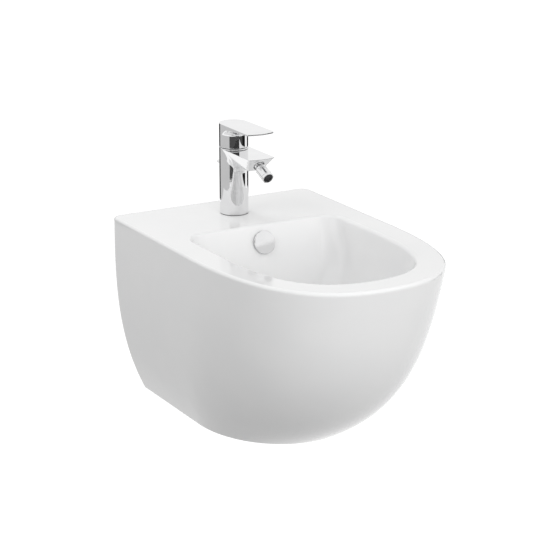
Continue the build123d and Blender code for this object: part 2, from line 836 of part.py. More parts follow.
with BuildPart() as clamp_screw:
    with BuildSketch(Plane((rod + 0.1, clamp_y, clamp_screw_z), z_dir=(1, 0, 0))):
        Circle(1.55)
    extrude(amount=5)
    with BuildSketch(Plane((clamp_width / 2 + 0.1, clamp_y, clamp_screw_z), z_dir=(1, 0, 0))):
        Circle(3)
    extrude(amount=2)
finish(clamp_screw, "clamp_screw")

# Pivot rod: from the plug's eye through its ball to the clamp
with BuildPart() as pivot_lever:
    with BuildSketch(pivot_plane):
        Circle(pivot_rod)
    extrude(amount=pivot_outer + 14)
    with BuildSketch(pivot_plane):
        Circle(pivot_rod)
    extrude(amount=-pivot_arm - 3)
    with BuildSketch(pivot_side):
        Circle(pivot_ball)
        with Locations((0, -10)):
            Rectangle(20, 20, mode=Mode.SUBTRACT)
    revolve(axis=pivot_axis)
finish(pivot_lever, "pivot_lever")

# Waste: gasket, flange with its tube, lower seal and nut, body with a branch for the ball
with BuildPart() as flange_seal:
    with BuildSketch(waste.offset(-bowl_depth)):
        Circle(30)
        Circle(waste_hole, mode=Mode.SUBTRACT)
    extrude(amount=1.5)
finish(flange_seal, "flange_seal")

with BuildPart() as waste_flange:
    with BuildSketch(waste_side):
        with BuildLine():
            Polyline(
                (flange, 1.5 - bowl_depth),
                (flange, 3 - bowl_depth),
                (flange - 3, 4.5 - bowl_depth),
                (flange - 8, 4 - bowl_depth),
                (tube - 2, 2.8 - bowl_depth),
                (tube - 2, tube_foot),
                (tube, tube_foot),
                (tube, 1.5 - bowl_depth),
                close=True,
            )
        make_face()
    revolve(axis=waste_axis)
    # slots that take the overflow's water
    with BuildSketch(Plane.XZ.offset(-waste_y)):
        with Locations((0, rim_z - bowl_depth - 11)):
            RectangleRounded(16, 7, 3)
    extrude(amount=40, both=True, mode=Mode.SUBTRACT)
finish(waste_flange, "waste_flange")

with BuildPart() as lower_seal:
    with BuildSketch(waste_side):
        with BuildLine():
            Polyline(
                (tube + 0.1, -bowl_depth - bowl_floor),
                (30, -bowl_depth - bowl_floor),
                (27, -bowl_depth - bowl_floor - 5),
                (tube + 0.1, -bowl_depth - bowl_floor - 5),
                close=True,
            )
        make_face()
    revolve(axis=waste_axis)
finish(lower_seal, "lower_seal")

with BuildPart() as waste_nut:
    with BuildSketch(waste.offset(-bowl_depth - bowl_floor - 5)):
        RegularPolygon(27, 8, major_radius=False)
        Circle(tube + 0.1, mode=Mode.SUBTRACT)
    extrude(amount=-9)
finish(waste_nut, "waste_nut")

with BuildPart() as waste_body:
    with BuildSketch(waste_side):
        with BuildLine():
            Polyline(
                (tube + 0.1, tube_foot + 10),
                (tube + 4, tube_foot + 10),
                (tube + 4, pivot_height - 12),
                (19, pivot_height - 20),
                (19, tail_top),
                (tail - 1.6, tail_top),
                (tail - 1.6, pivot_height - 18),
                (tube - 2, pivot_height - 11),
                (tube - 2, tube_foot),
                (tube + 0.1, tube_foot),
                close=True,
            )
        make_face()
    revolve(axis=waste_axis)
    with BuildSketch(Plane((0, waste_y + tube, rim_z + pivot_height), z_dir=(0, 1, 0))):
        Circle(branch)
    extrude(amount=pivot_arm - tube + 3)
    with BuildSketch(Plane((0, waste_y + tube - 3, rim_z + pivot_height), z_dir=(0, 1, 0))):
        Circle(pivot_ball + 0.3)
    extrude(amount=20, mode=Mode.SUBTRACT)
finish(waste_body, "waste_body")

with BuildPart() as pivot_nut:
    with BuildSketch(Plane((0, waste_y + pivot_arm + 3, rim_z + pivot_height), z_dir=(0, 1, 0))):
        RegularPolygon(branch + 2.5, 6, major_radius=False)
        Circle(pivot_ball - 1.2, mode=Mode.SUBTRACT)
    extrude(amount=8)
    with BuildSketch(Plane((0, waste_y + pivot_arm + 3, rim_z + pivot_height), z_dir=(0, 1, 0))):
        Circle(pivot_ball + 0.3)
    extrude(amount=3.6, mode=Mode.SUBTRACT)
finish(pivot_nut, "pivot_nut")

with BuildPart() as tailpiece:
    with BuildSketch(waste_side):
        with BuildLine():
            Polyline(
                (tail - 1.5, tail_top),
                (tail + 2.8, tail_top),
                (tail + 2.8, tail_top - tail_lip),
                (tail + tail_collar, tail_top - tail_lip),
                (tail + tail_collar, tail_nut_foot - 2),
                (tail, tail_nut_foot - 2),
                (tail, tail_foot),
                (tail - 1.5, tail_foot),
                close=True,
            )
        make_face()
    revolve(axis=waste_axis)
finish(tailpiece, "tailpiece")

with BuildPart() as tail_nut:
    with BuildSketch(waste.offset(tail_nut_foot)):
        Circle(tail_nut_radius)
        with PolarLocations(tail_nut_radius, 8):
            Circle(2, mode=Mode.SUBTRACT)
        Circle(tail + tail_collar + 0.1, mode=Mode.SUBTRACT)
    extrude(amount=tail_top + tail_lip - tail_nut_foot)
    with BuildSketch(waste.offset(tail_top - tail_lip)):
        Circle(19.1)
    extrude(amount=16, mode=Mode.SUBTRACT)
finish(tail_nut, "tail_nut")

# Plug: cap and stem, with an eye for the pivot rod
with BuildPart() as plug:
    with BuildSketch(waste.offset(plug_level - 3)):
        Circle(plug_radius)
    extrude(amount=7.5)
    chamfer(plug.edges().sort_by(Axis.Z)[0], 3.5)
    fillet(plug.edges().sort_by(Axis.Z)[-1], 2.5)
    with BuildSketch(waste.offset(plug_level - 3)):
        Circle(3)
    extrude(amount=eye_level + 8 - plug_level + 3)
    with BuildSketch(waste_side):
        with Locations((0, eye_level)):
            Rectangle(10, 16)
    extrude(amount=6, both=True)
    with BuildSketch(Plane.XZ.offset(-waste_y)):
        with Locations((0, rim_z + eye_level)):
            Rectangle(6.4, 7)
    extrude(amount=8, both=True, mode=Mode.SUBTRACT)
finish(plug, "plug")
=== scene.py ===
import json
from math import atan, cos, pi, radians, sin, sqrt, tan

import bmesh
import bpy
from mathutils import Matrix, Vector


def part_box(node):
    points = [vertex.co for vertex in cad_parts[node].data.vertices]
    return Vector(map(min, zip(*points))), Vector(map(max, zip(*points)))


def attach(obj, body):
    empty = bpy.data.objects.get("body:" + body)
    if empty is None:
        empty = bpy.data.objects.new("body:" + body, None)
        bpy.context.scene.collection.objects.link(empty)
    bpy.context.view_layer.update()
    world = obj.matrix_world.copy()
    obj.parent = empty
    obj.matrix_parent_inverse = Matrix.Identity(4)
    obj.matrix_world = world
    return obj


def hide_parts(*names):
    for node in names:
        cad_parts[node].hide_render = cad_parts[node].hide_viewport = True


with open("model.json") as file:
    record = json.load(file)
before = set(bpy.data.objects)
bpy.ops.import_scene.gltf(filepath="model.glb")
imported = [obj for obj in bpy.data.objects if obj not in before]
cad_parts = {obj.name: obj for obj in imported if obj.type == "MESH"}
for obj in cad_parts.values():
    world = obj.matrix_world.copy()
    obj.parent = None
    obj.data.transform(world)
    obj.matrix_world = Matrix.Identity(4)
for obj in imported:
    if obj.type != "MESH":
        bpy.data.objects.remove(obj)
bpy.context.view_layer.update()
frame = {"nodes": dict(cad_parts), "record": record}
cadNodes = frame["nodes"]
mm = 0.001

# Sizes below are in millimetres in the part's own frame: the origin is on the wall between the fixing
# holes, the front is towards -Y and the rim is rimLevel above the origin.
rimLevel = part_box("ceramic_body")[1].z / mm


# small helpers for meshes

def addPiece(name, points, faces, finish, body, slotName, replaced=(), sharpFrom=32):
    mesh = bpy.data.meshes.new(name)
    mesh.from_pydata([Vector(p) * mm for p in points], [], faces)
    return addMesh(name, mesh, finish, body, replaced, sharpFrom)


def addMesh(name, mesh, finish, body, replaced=(), sharpFrom=32):
    tidyMesh(mesh, sharpFrom)
    mesh.materials.clear()
    mesh.materials.append(finish)
    piece = bpy.data.objects.new(name, mesh)
    bpy.context.scene.collection.objects.link(piece)
    # large flat faces keep their own shading beside the rounded edges
    flatten = piece.modifiers.new("flatShading", "WEIGHTED_NORMAL")
    flatten.keep_sharp = True
    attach(piece, body)
    if replaced:
        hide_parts(*replaced)
    return piece


def tidyMesh(mesh, sharpFrom):
    work = bmesh.new()
    work.from_mesh(mesh)
    bmesh.ops.remove_doubles(work, verts=work.verts, dist=2e-6)
    bmesh.ops.dissolve_degenerate(work, edges=work.edges, dist=1e-6)
    bmesh.ops.recalc_face_normals(work, faces=work.faces)
    work.to_mesh(mesh)
    work.free()
    mesh.shade_smooth()
    mesh.set_sharp_from_angle(angle=radians(sharpFrom))


def meshOf(points, faces, name="cutter"):
    # a loose closed mesh, for cutting with
    mesh = bpy.data.meshes.new(name)
    mesh.from_pydata([Vector(p) * mm for p in points], [], faces)
    work = bmesh.new()
    work.from_mesh(mesh)
    bmesh.ops.remove_doubles(work, verts=work.verts, dist=2e-6)
    bmesh.ops.recalc_face_normals(work, faces=work.faces)
    work.to_mesh(mesh)
    work.free()
    return mesh


def carve(mesh, cutters, operation="DIFFERENCE"):
    # cuts or joins closed meshes, and gives back a new mesh
    target = bpy.data.objects.new("carving", mesh)
    bpy.context.scene.collection.objects.link(target)
    helpers = []
    for cutter in cutters:
        helper = bpy.data.objects.new("cutting", cutter)
        bpy.context.scene.collection.objects.link(helper)
        helpers.append(helper)
        step = target.modifiers.new("cut", "BOOLEAN")
        step.operation = operation
        step.solver = "EXACT"
        step.object = helper
    graph = bpy.context.evaluated_depsgraph_get()
    result = bpy.data.meshes.new_from_object(target.evaluated_get(graph))
    for spent in [target, *helpers]:
        bpy.data.objects.remove(spent)
    return result


def loftedFaces(rowCount, ringSize, capStart=True, capEnd=True):
    faces = []
    for row in range(rowCount - 1):
        for i in range(ringSize):
            j = (i + 1) % ringSize
            faces.append((row * ringSize + i, row * ringSize + j, (row + 1) * ringSize + j,
                          (row + 1) * ringSize + i))
    if capStart:
        faces.append(tuple(range(ringSize)))
    if capEnd:
        faces.append(tuple((rowCount - 1) * ringSize + i for i in range(ringSize)))
    return faces


def axisPlace(origin, direction=(0, 0, 1), ahead=(0, -1, 0)):
    # local z runs along direction, and angle 0 looks ahead
    z = Vector(direction).normalized()
    x = Vector(ahead) - z * Vector(ahead).dot(z)
    x.normalize()
    y = z.cross(x)
    turn = Matrix((x, y, z)).transposed().to_4x4()
    return Matrix.Translation(Vector(origin)) @ turn


def evenAngles(count):
    return [2 * pi * i / count for i in range(count)]


def turned(profile, place, angles=None, shape=None, closed=False):
    # a turned form: profile rows are (radius, height, ...), and shape may vary the radius by angle
    angles = angles or evenAngles(96)
    points = []
    for row in profile:
        for angle in angles:
            radius = shape(angle, row) if shape else row[0]
            points.append(place @ Vector((radius * cos(angle), radius * sin(angle), row[1])))
    count = len(profile)
    size = len(angles)
    faces = loftedFaces(count, size, not closed, not closed)
    if closed:
        for i in range(size):
            j = (i + 1) % size
            faces.append(((count - 1) * size + i, (count - 1) * size + j, j, i))
    return points, faces


def eased(points, ease, closed=False, steps=3):
    # rounds the corners of an outline a little
    result = []
    count = len(points)
    for i, corner in enumerate(points):
        if not closed and i in (0, count - 1):
            result.append(corner)
            continue
        here = Vector(corner)
        before = Vector(points[i - 1])
        after = Vector(points[(i + 1) % count])
        reach = min(ease, 0.45 * (before - here).length, 0.45 * (after - here).length)
        start = here + (before - here).normalized() * reach
        end = here + (after - here).normalized() * reach
        for k in range(steps + 1):
            t = k / steps
            result.append(tuple((1 - t) ** 2 * start + 2 * t * (1 - t) * here + t * t * end))
    return result


def cylinderMesh(radius, low, high, place, segments=64, topRadius=None):
    top = radius if topRadius is None else topRadius
    return meshOf(*turned([(radius, low), (top, high)], place, evenAngles(segments)))


def prismMesh(outline, low, high, place):
    size = len(outline)
    points = [place @ Vector((x, y, level)) for level in (low, high) for x, y in outline]
    return meshOf(points, loftedFaces(2, size))


def boxMesh(low, high):
    points = [(x, y, z) for z in (low[2], high[2]) for x, y in
              ((low[0], low[1]), (high[0], low[1]), (high[0], high[1]), (low[0], high[1]))]
    return meshOf(points, loftedFaces(2, 4))


def threadShape(pitch, depth, low, high):
    # a thread between two heights, running out softly at both ends
    def shape(angle, row):
        radius, height = row[0], row[1]
        if len(row) < 3:
            return radius
        turn = (height / pitch - angle / (2 * pi)) % 1
        groove = abs(2 * turn - 1)
        fade = min(1, max(0, (height - low) / pitch)) * min(1, max(0, (high - height) / pitch))
        return radius - depth * fade * min(1, 1.25 * groove)
    return shape


def threadRows(radius, low, high, pitch, perTurn=7):
    count = max(2, int((high - low) / pitch * perTurn))
    return [(radius, low + (high - low) * i / count, True) for i in range(count + 1)]


def hexShape(acrossFlats, low, high, sides=6):
    # flats with the turned chamfer of a real nut on both ends
    corner = acrossFlats / 2 / cos(pi / sides)

    def shape(angle, row):
        radius, height = row[0], row[1]
        if len(row) < 3:
            return radius
        step = 2 * pi / sides
        flat = acrossFlats / 2 / cos((angle + step / 2) % step - step / 2)
        edge = min(height - low, high - height)
        return min(flat, acrossFlats / 2 * 0.96 + edge / tan(radians(30)), corner - 0.1)
    return shape


# finishes: the shared effects are node groups, and each finish places them with its own values

def newGroup(name, inputs, outputs):
    group = bpy.data.node_groups.new(name, "ShaderNodeTree")
    for label, kind, value in inputs:
        socket = group.interface.new_socket(name=label, in_out="INPUT", socket_type=kind)
        socket.default_value = value
    for label, kind in outputs:
        group.interface.new_socket(name=label, in_out="OUTPUT", socket_type=kind)
    source = group.nodes.new("NodeGroupInput")
    sink = group.nodes.new("NodeGroupOutput")
    return group, source, sink


def link(tree, start, end):
    tree.links.new(start, end)


def mathNode(tree, operation, first, second, clamp=False):
    node = tree.nodes.new("ShaderNodeMath")
    node.operation = operation
    node.use_clamp = clamp
    for socket, value in zip(node.inputs, (first, second)):
        if isinstance(value, (int, float)):
            socket.default_value = value
        else:
            link(tree, value, socket)
    return node.outputs[0]


def noiseNode(tree, vector, scale, detail=3, roughness=0.5):
    node = tree.nodes.new("ShaderNodeTexNoise")
    node.inputs["Detail"].default_value = detail
    node.inputs["Roughness"].default_value = roughness
    link(tree, vector, node.inputs["Vector"])
    if isinstance(scale, (int, float)):
        node.inputs["Scale"].default_value = scale
    else:
        link(tree, scale, node.inputs["Scale"])
    return node.outputs["Fac"]


def rangeNode(tree, value, low, high, newLow, newHigh):
    node = tree.nodes.new("ShaderNodeMapRange")
    node.interpolation_type = "SMOOTHSTEP"
    for label, number in (("From Min", low), ("From Max", high), ("To Min", newLow), ("To Max", newHigh)):
        if isinstance(number, (int, float)):
            node.inputs[label].default_value = number
        else:
            link(tree, number, node.inputs[label])
    link(tree, value, node.inputs["Value"])
    return node.outputs["Result"]


def mixColours(tree, mask, first, second):
    node = tree.nodes.new("ShaderNodeMix")
    node.data_type = "RGBA"
    link(tree, mask, node.inputs["Factor"])
    for label, value in (("A", first), ("B", second)):
        socket = next(s for s in node.inputs if s.name == label and s.type == "RGBA")
        if isinstance(value, tuple):
            socket.default_value = value
        else:
            link(tree, value, socket)
    return next(s for s in node.outputs if s.type == "RGBA")


def buildHandling():
    # fingerprints and fine wiping marks: a roughness and a height
    group, source, sink = newGroup(
        "handlingMarks",
        [("Roughness", "NodeSocketFloat", 0.06), ("Marks", "NodeSocketFloat", 0.05),
         ("Patch Size", "NodeSocketFloat", 60.0), ("Grain Size", "NodeSocketFloat", 900.0)],
        [("Roughness", "NodeSocketFloat"), ("Height", "NodeSocketFloat")],
    )
    place = group.nodes.new("ShaderNodeTexCoord")
    patches = noiseNode(group, place.outputs["Object"], source.outputs["Patch Size"], 4, 0.6)
    cover = rangeNode(group, patches, 0.42, 0.72, 0.0, 1.0)
    grain = noiseNode(group, place.outputs["Object"], source.outputs["Grain Size"], 2, 0.5)
    marks = mathNode(group, "MULTIPLY", cover, source.outputs["Marks"])
    marks = mathNode(group, "MULTIPLY", marks, mathNode(group, "ADD", grain, 0.5))
    link(group, mathNode(group, "ADD", source.outputs["Roughness"], marks, True), sink.inputs["Roughness"])
    link(group, mathNode(group, "ADD", grain, mathNode(group, "MULTIPLY", patches, 0.3)),
         sink.inputs["Height"])
    return group


def buildTurning():
    # concentric tool marks of turned metal, round the piece's upright axis
    group, source, sink = newGroup(
        "toolMarks",
        [("Pitch", "NodeSocketFloat", 1800.0), ("Depth", "NodeSocketFloat", 1.0)],
        [("Height", "NodeSocketFloat"), ("Tone", "NodeSocketFloat")],
    )
    place = group.nodes.new("ShaderNodeTexCoord")
    stretch = group.nodes.new("ShaderNodeMapping")
    stretch.inputs["Scale"].default_value = (0.02, 0.02, 1.0)
    link(group, place.outputs["Object"], stretch.inputs["Vector"])
    lines = noiseNode(group, stretch.outputs["Vector"], source.outputs["Pitch"], 2, 0.6)
    stains = noiseNode(group, place.outputs["Object"], 45.0, 4, 0.6)
    link(group, mathNode(group, "MULTIPLY", lines, source.outputs["Depth"]), sink.inputs["Height"])
    link(group, rangeNode(group, stains, 0.3, 0.75, 0.0, 1.0), sink.inputs["Tone"])
    return group


def buildGlaze():
    # white glaze with a faint ripple, bare clay on the foot ring and the wall face
    group, source, sink = newGroup(
        "firedGlaze",
        [("Glaze", "NodeSocketColor", (0.8, 0.8, 0.8, 1)),
         ("Pooled Glaze", "NodeSocketColor", (0.7, 0.72, 0.74, 1)),
         ("Bare Clay", "NodeSocketColor", (0.6, 0.56, 0.5, 1)), ("Ripple Size", "NodeSocketFloat", 14.0),
         ("Foot Level", "NodeSocketFloat", -0.2), ("Wall Level", "NodeSocketFloat", -0.001)],
        [("Colour", "NodeSocketColor"), ("Roughness", "NodeSocketFloat"), ("Height", "NodeSocketFloat")],
    )
    place = group.nodes.new("ShaderNodeTexCoord")
    axes = group.nodes.new("ShaderNodeSeparateXYZ")
    link(group, place.outputs["Object"], axes.inputs[0])
    ripple = noiseNode(group, place.outputs["Object"], source.outputs["Ripple Size"], 2, 0.4)
    pinholes = noiseNode(group, place.outputs["Object"], 700.0, 1, 0.4)
    wobble = mathNode(group, "MULTIPLY", mathNode(group, "SUBTRACT", ripple, 0.5), 0.0016)
    foot = mathNode(group, "LESS_THAN", mathNode(group, "ADD", axes.outputs["Z"], wobble),
                    source.outputs["Foot Level"])
    back = mathNode(group, "GREATER_THAN", mathNode(group, "ADD", axes.outputs["Y"], wobble),
                    source.outputs["Wall Level"])
    bare = mathNode(group, "MAXIMUM", foot, back)
    tone = rangeNode(group, ripple, 0.35, 0.7, 0.0, 0.35)
    glazed = mixColours(group, tone, source.outputs["Glaze"], source.outputs["Pooled Glaze"])
    link(group, mixColours(group, bare, glazed, source.outputs["Bare Clay"]), sink.inputs["Colour"])
    rough = mathNode(group, "ADD", mathNode(group, "MULTIPLY", bare, 0.55), 0.07)
    rough = mathNode(group, "ADD", rough, mathNode(group, "MULTIPLY", pinholes, 0.03))
    link(group, rough, sink.inputs["Roughness"])
    grains = mathNode(group, "MULTIPLY", mathNode(group, "MULTIPLY", pinholes, bare), 0.5)
    link(group, mathNode(group, "ADD", ripple, grains), sink.inputs["Height"])
    return group


def buildMoulding():
    # fine eroded texture and slight colour drift of moulded plastic or rubber
    group, source, sink = newGroup(
        "mouldedSkin",
        [("Light", "NodeSocketColor", (0.5, 0.5, 0.5, 1)), ("Dark", "NodeSocketColor", (0.4, 0.4, 0.4, 1)),
         ("Roughness", "NodeSocketFloat", 0.5), ("Grain Size", "NodeSocketFloat", 1400.0)],
        [("Colour", "NodeSocketColor"), ("Roughness", "NodeSocketFloat"), ("Height", "NodeSocketFloat")],
    )
    place = group.nodes.new("ShaderNodeTexCoord")
    drift = noiseNode(group, place.outputs["Object"], 40.0, 3, 0.5)
    grain = noiseNode(group, place.outputs["Object"], source.outputs["Grain Size"], 2, 0.5)
    link(group, mixColours(group, drift, source.outputs["Dark"], source.outputs["Light"]),
         sink.inputs["Colour"])
    spread = mathNode(group, "MULTIPLY", mathNode(group, "SUBTRACT", grain, 0.5), 0.2)
    link(group, mathNode(group, "ADD", source.outputs["Roughness"], spread, True), sink.inputs["Roughness"])
    link(group, grain, sink.inputs["Height"])
    return group


handlingMarks = buildHandling()
toolMarks = buildTurning()
firedGlaze = buildGlaze()
mouldedSkin = buildMoulding()


def newFinish(name, sockets):
    finish = bpy.data.materials.new(name)
    finish.use_nodes = True
    shader = finish.node_tree.nodes["Principled BSDF"]
    for label, value in sockets.items():
        shader.inputs[label].default_value = value
    return finish, finish.node_tree, shader


def placeGroup(tree, group, values):
    node = tree.nodes.new("ShaderNodeGroup")
    node.node_tree = group
    for label, value in values.items():
        node.inputs[label].default_value = value
    return node


def reliefInto(tree, shader, height, distance, strength=1.0):
    bump = tree.nodes.new("ShaderNodeBump")
    bump.inputs["Distance"].default_value = distance
    bump.inputs["Strength"].default_value = strength
    link(tree, height, bump.inputs["Height"])
    link(tree, bump.outputs["Normal"], shader.inputs["Normal"])


def glazeFinish():
    look = {"glaze": (0.83, 0.83, 0.83, 1), "pooled": (0.79, 0.795, 0.8, 1), "clay": (0.62, 0.58, 0.52, 1)}
    finish, tree, shader = newFinish("whiteGlaze", {"IOR": 1.5, "Coat Weight": 0.2, "Coat Roughness": 0.03})
    effect = placeGroup(tree, firedGlaze, {
        "Glaze": look["glaze"], "Pooled Glaze": look["pooled"], "Bare Clay": look["clay"],
        "Foot Level": (rimLevel - bidetBody["height"] + 0.6) * mm, "Wall Level": -0.6 * mm,
    })
    link(tree, effect.outputs["Colour"], shader.inputs["Base Color"])
    link(tree, effect.outputs["Roughness"], shader.inputs["Roughness"])
    reliefInto(tree, shader, effect.outputs["Height"], 0.0004, 0.25)
    return finish


def metalFinish(name, light, dark, roughness, marks, depth, lines=0.0):
    finish, tree, shader = newFinish(name, {"Metallic": 1.0})
    wear = placeGroup(tree, handlingMarks, {"Roughness": roughness, "Marks": marks})
    tools = placeGroup(tree, toolMarks, {"Depth": lines})
    link(tree, mixColours(tree, tools.outputs["Tone"], light, dark), shader.inputs["Base Color"])
    link(tree, wear.outputs["Roughness"], shader.inputs["Roughness"])
    height = mathNode(tree, "ADD", wear.outputs["Height"], tools.outputs["Height"])
    reliefInto(tree, shader, height, depth, 0.4)
    return finish


def mouldedFinish(name, light, dark, roughness, depth):
    finish, tree, shader = newFinish(name, {})
    effect = placeGroup(tree, mouldedSkin, {"Light": light, "Dark": dark, "Roughness": roughness})
    link(tree, effect.outputs["Colour"], shader.inputs["Base Color"])
    link(tree, effect.outputs["Roughness"], shader.inputs["Roughness"])
    reliefInto(tree, shader, effect.outputs["Height"], depth, 0.5)
    return finish


# ceramic body

bidetBody = {
    "width": 360, "depth": 547, "height": 300, "wall": 10, "deck": 14, "web": 20,
    "rearCorner": 16, "sideStraight": 266, "footWidth": 256.6, "footDepth": 345.4, "footStraight": 193.6,
    "rimEdge": 5, "footEdge": 3, "fixingSpacing": 180, "fixingHole": 9,
    "windowWidth": 130, "windowTop": 40, "windowCorner": 20,
    "ribPlace": 70, "ribThickness": 10,
}
bowl = {
    "rear": 166, "front": 499, "halfWidth": 133, "depth": 158, "straight": 300, "corner": 30,
    "floor": 20, "edge": 6, "seat": 38,
}
waste = {"y": -275, "hole": 23}
overflow = {"drop": 27, "hole": 11, "bore": 8.5, "cover": 18.5, "gap": 3, "thickness": 2.5, "ductHalf": 17}
tapPlace = {"y": -80, "hole": 17.5}

wasteReach = -waste["y"]
rearLean = 0.75 * (wasteReach - bowl["seat"] - bowl["rear"]) / bowl["depth"]


def quarterPoints(start, end, fullness, sideFirst, count):
    # a quarter round: fullness 0.55 is an ellipse, more is squarer; the end point is left to what follows
    (x0, y0), (x1, y1) = start, end
    if sideFirst:
        first, second = (x0, y0 + fullness * (y1 - y0)), (x1 - fullness * (x1 - x0), y1)
    else:
        first, second = (x0 + fullness * (x1 - x0), y0), (x1, y1 - fullness * (y1 - y0))
    points = []
    for i in range(count):
        t = i / count
        weights = ((1 - t) ** 3, 3 * t * (1 - t) ** 2, 3 * t * t * (1 - t), t ** 3)
        points.append(tuple(sum(w * p[k] for w, p in zip(weights, (start, first, second, end))) for k in (0,
                                                                                                          1)))
    return points


def straightPoints(start, end, count):
    return [(start[0] + (end[0] - start[0]) * i / count, start[1] + (end[1] - start[1]) * i / count)
            for i in range(count)]


ringCounts = {"rear": 18, "corner": 8, "side": 16, "front": 56}


def ringOf(half, rear, front, straight, corner, fullness):
    # one closed outline, always with the same number of points
    n = ringCounts
    ring = straightPoints((corner - half, -rear), (half - corner, -rear), n["rear"])
    ring += quarterPoints((half - corner, -rear), (half, -rear - corner), 0.5523, False, n["corner"])
    ring += straightPoints((half, -rear - corner), (half, -straight), n["side"])
    ring += quarterPoints((half, -straight), (0, -front), fullness, True, n["front"])
    ring += quarterPoints((0, -front), (-half, -straight), fullness, False, n["front"])
    ring += straightPoints((-half, -straight), (-half, -rear - corner), n["side"])
    ring += quarterPoints((-half, -rear - corner), (corner - half, -rear), 0.5523, True, n["corner"])
    return ring


def bodyRing(fall, inset=0, back=0):
    size = bidetBody
    half = size["width"] / 2 - (size["width"] - size["footWidth"]) / 2 * fall ** 2.95 - inset
    front = size["depth"] - (size["depth"] - size["footDepth"]) * (0.396 * fall + 0.604 * fall ** 3.835) - inset
    straight = size["sideStraight"] - (size["sideStraight"] - size["footStraight"]) * fall ** 1.5
    return ringOf(half, back, front, straight, size["rearCorner"] - 10 * fall, 0.69 - 0.12 * fall)


def bowlRing(sink, grow=0):
    seatRear = wasteReach - bowl["seat"]
    rear = bowl["rear"] + (seatRear - bowl["rear"]) * (0.75 * sink + 0.25 * sink ** 6) - grow
    front = bowl["front"] - (bowl["front"] - wasteReach - bowl["seat"]) * sink ** 3 + grow
    half = bowl["halfWidth"] - (bowl["halfWidth"] - bowl["seat"]) * sink ** 3.4 + grow
    straight = bowl["straight"] + (wasteReach + 1 - bowl["straight"]) * sink
    corner = bowl["corner"] + grow + (bowl["seat"] - 1 - bowl["corner"]) * sink ** 0.7
    return ringOf(half, rear, front, straight, corner, 0.69 - 0.138 * sink)


def ringNormals(ring):
    # outward normals of a ring that runs anticlockwise seen from below and clockwise from above
    normals = []
    count = len(ring)
    for i in range(count):
        (x0, y0), (x1, y1) = ring[i - 1], ring[(i + 1) % count]
        length = sqrt((x1 - x0) ** 2 + (y1 - y0) ** 2) or 1
        normals.append((-(y1 - y0) / length, (x1 - x0) / length))
    return normals


def edgeRows(ring, beyond, distance, radius, level, away, outward, steps=7):
    # rows of a rounded edge between a level plane and a wall: ring lies on the plane, beyond on the wall,
    # away is 1 for a wall above the plane and -1 below, outward is 1 where the clay lies inside the ring
    normals = ringNormals(ring)
    rows = [[] for _ in range(steps + 1)]
    for (x, y), (bx, by), (nx, ny) in zip(ring, beyond, normals):
        nx, ny = nx * outward, ny * outward
        lean = atan(-((bx - x) * nx + (by - y) * ny) / distance)
        tangent = radius / tan((pi / 2 - lean) / 2)
        for k in range(steps + 1):
            angle = pi / 2 - k / steps * (pi / 2 + lean)
            reach = radius * cos(angle) - tangent
            depth = radius - radius * sin(angle)
            rows[k].append((x + nx * reach, min(y + ny * reach, 0), level + away * depth))
    return rows


def flatRow(ring, level):
    return [(x, y, level) for x, y in ring]


def ceramicShell():
    # the outside and the bowl as one closed skin
    height, depth = bidetBody["height"], bowl["depth"]
    foot = rimLevel - height
    probe = 0.01
    rim = edgeRows(bodyRing(0), bodyRing(probe), probe * height, bidetBody["rimEdge"], rimLevel, -1, 1)
    sole = edgeRows(bodyRing(1), bodyRing(1 - probe), probe * height, bidetBody["footEdge"], foot, 1, 1)
    lip = edgeRows(bowlRing(0), bowlRing(probe), probe * depth, bowl["edge"], rimLevel, -1, -1)
    falls = [0.03 + 0.945 * i / 44 for i in range(45)]
    sinks = [0.055 + 0.945 * (i / 36) ** 0.85 for i in range(37)]
    rows = sole[:]
    rows += [flatRow(bodyRing(fall), rimLevel - height * fall) for fall in reversed(falls)]
    rows += list(reversed(rim))
    rows += lip
    rows += [flatRow(bowlRing(sink), rimLevel - depth * sink) for sink in sinks]
    floor = rows[-1]
    for share in (0.9, 0.75):
        rows.append([(x * share, waste["y"] + (y - waste["y"]) * share, z) for x, y, z in floor])
    points = [point for row in rows for point in row]
    return meshOf(points, loftedFaces(len(rows), len(rows[0])))


def ceramicCavity():
    # the open space between the outside and the bowl; the duct's walls and the two ribs have their
    # heights negated, a known fault, so they lie above the rim and leave the space as it is
    height = bidetBody["height"]
    basinDepth = bowl["depth"] + bowl["floor"]
    falls = [bidetBody["deck"] / height + (1 - bidetBody["deck"] / height) * i / 26 for i in range(27)]
    rows = [flatRow(bodyRing(fall, bidetBody["wall"], bidetBody["web"]),
                    rimLevel - height * fall) for fall in falls]
    rows.append([(x, y, z - 8) for x, y, z in rows[-1]])
    cavity = meshOf([p for row in rows for p in row], loftedFaces(len(rows), len(rows[0])))
    sinks = [(i / 30) ** 0.9 for i in range(31)]
    rows = [flatRow(bowlRing(sink, bidetBody["wall"]), rimLevel - basinDepth * sink) for sink in sinks]
    rows.insert(0, [(x, y, z + 5) for x, y, z in rows[0]])
    basin = meshOf([p for row in rows for p in row], loftedFaces(len(rows), len(rows[0])))
    ductRear = bowl["rear"] - bidetBody["wall"] - 25
    outline = [(ductRear, 1), (ductRear + rearLean * basinDepth, -basinDepth), (wasteReach, -basinDepth),
               (bowl["rear"] + 4, 1)]
    side = axisPlace((0, 0, rimLevel), (-1, 0, 0), (0, -1, 0))
    ductWalls = prismMesh([(x, -y) for x, y in outline], -overflow["ductHalf"] - 8, overflow["ductHalf"] + 8,
                          side)
    ribs = []
    rib = [(bidetBody["web"] - 1, 1), (175, 1), (195, -110), (bidetBody["web"] - 1, -150)]
    for place in (-bidetBody["ribPlace"], bidetBody["ribPlace"]):
        half = bidetBody["ribThickness"] / 2
        ribs.append(prismMesh([(x, -y) for x, y in rib], place - half, place + half, side))
    return carve(cavity, [basin, ductWalls, *ribs])


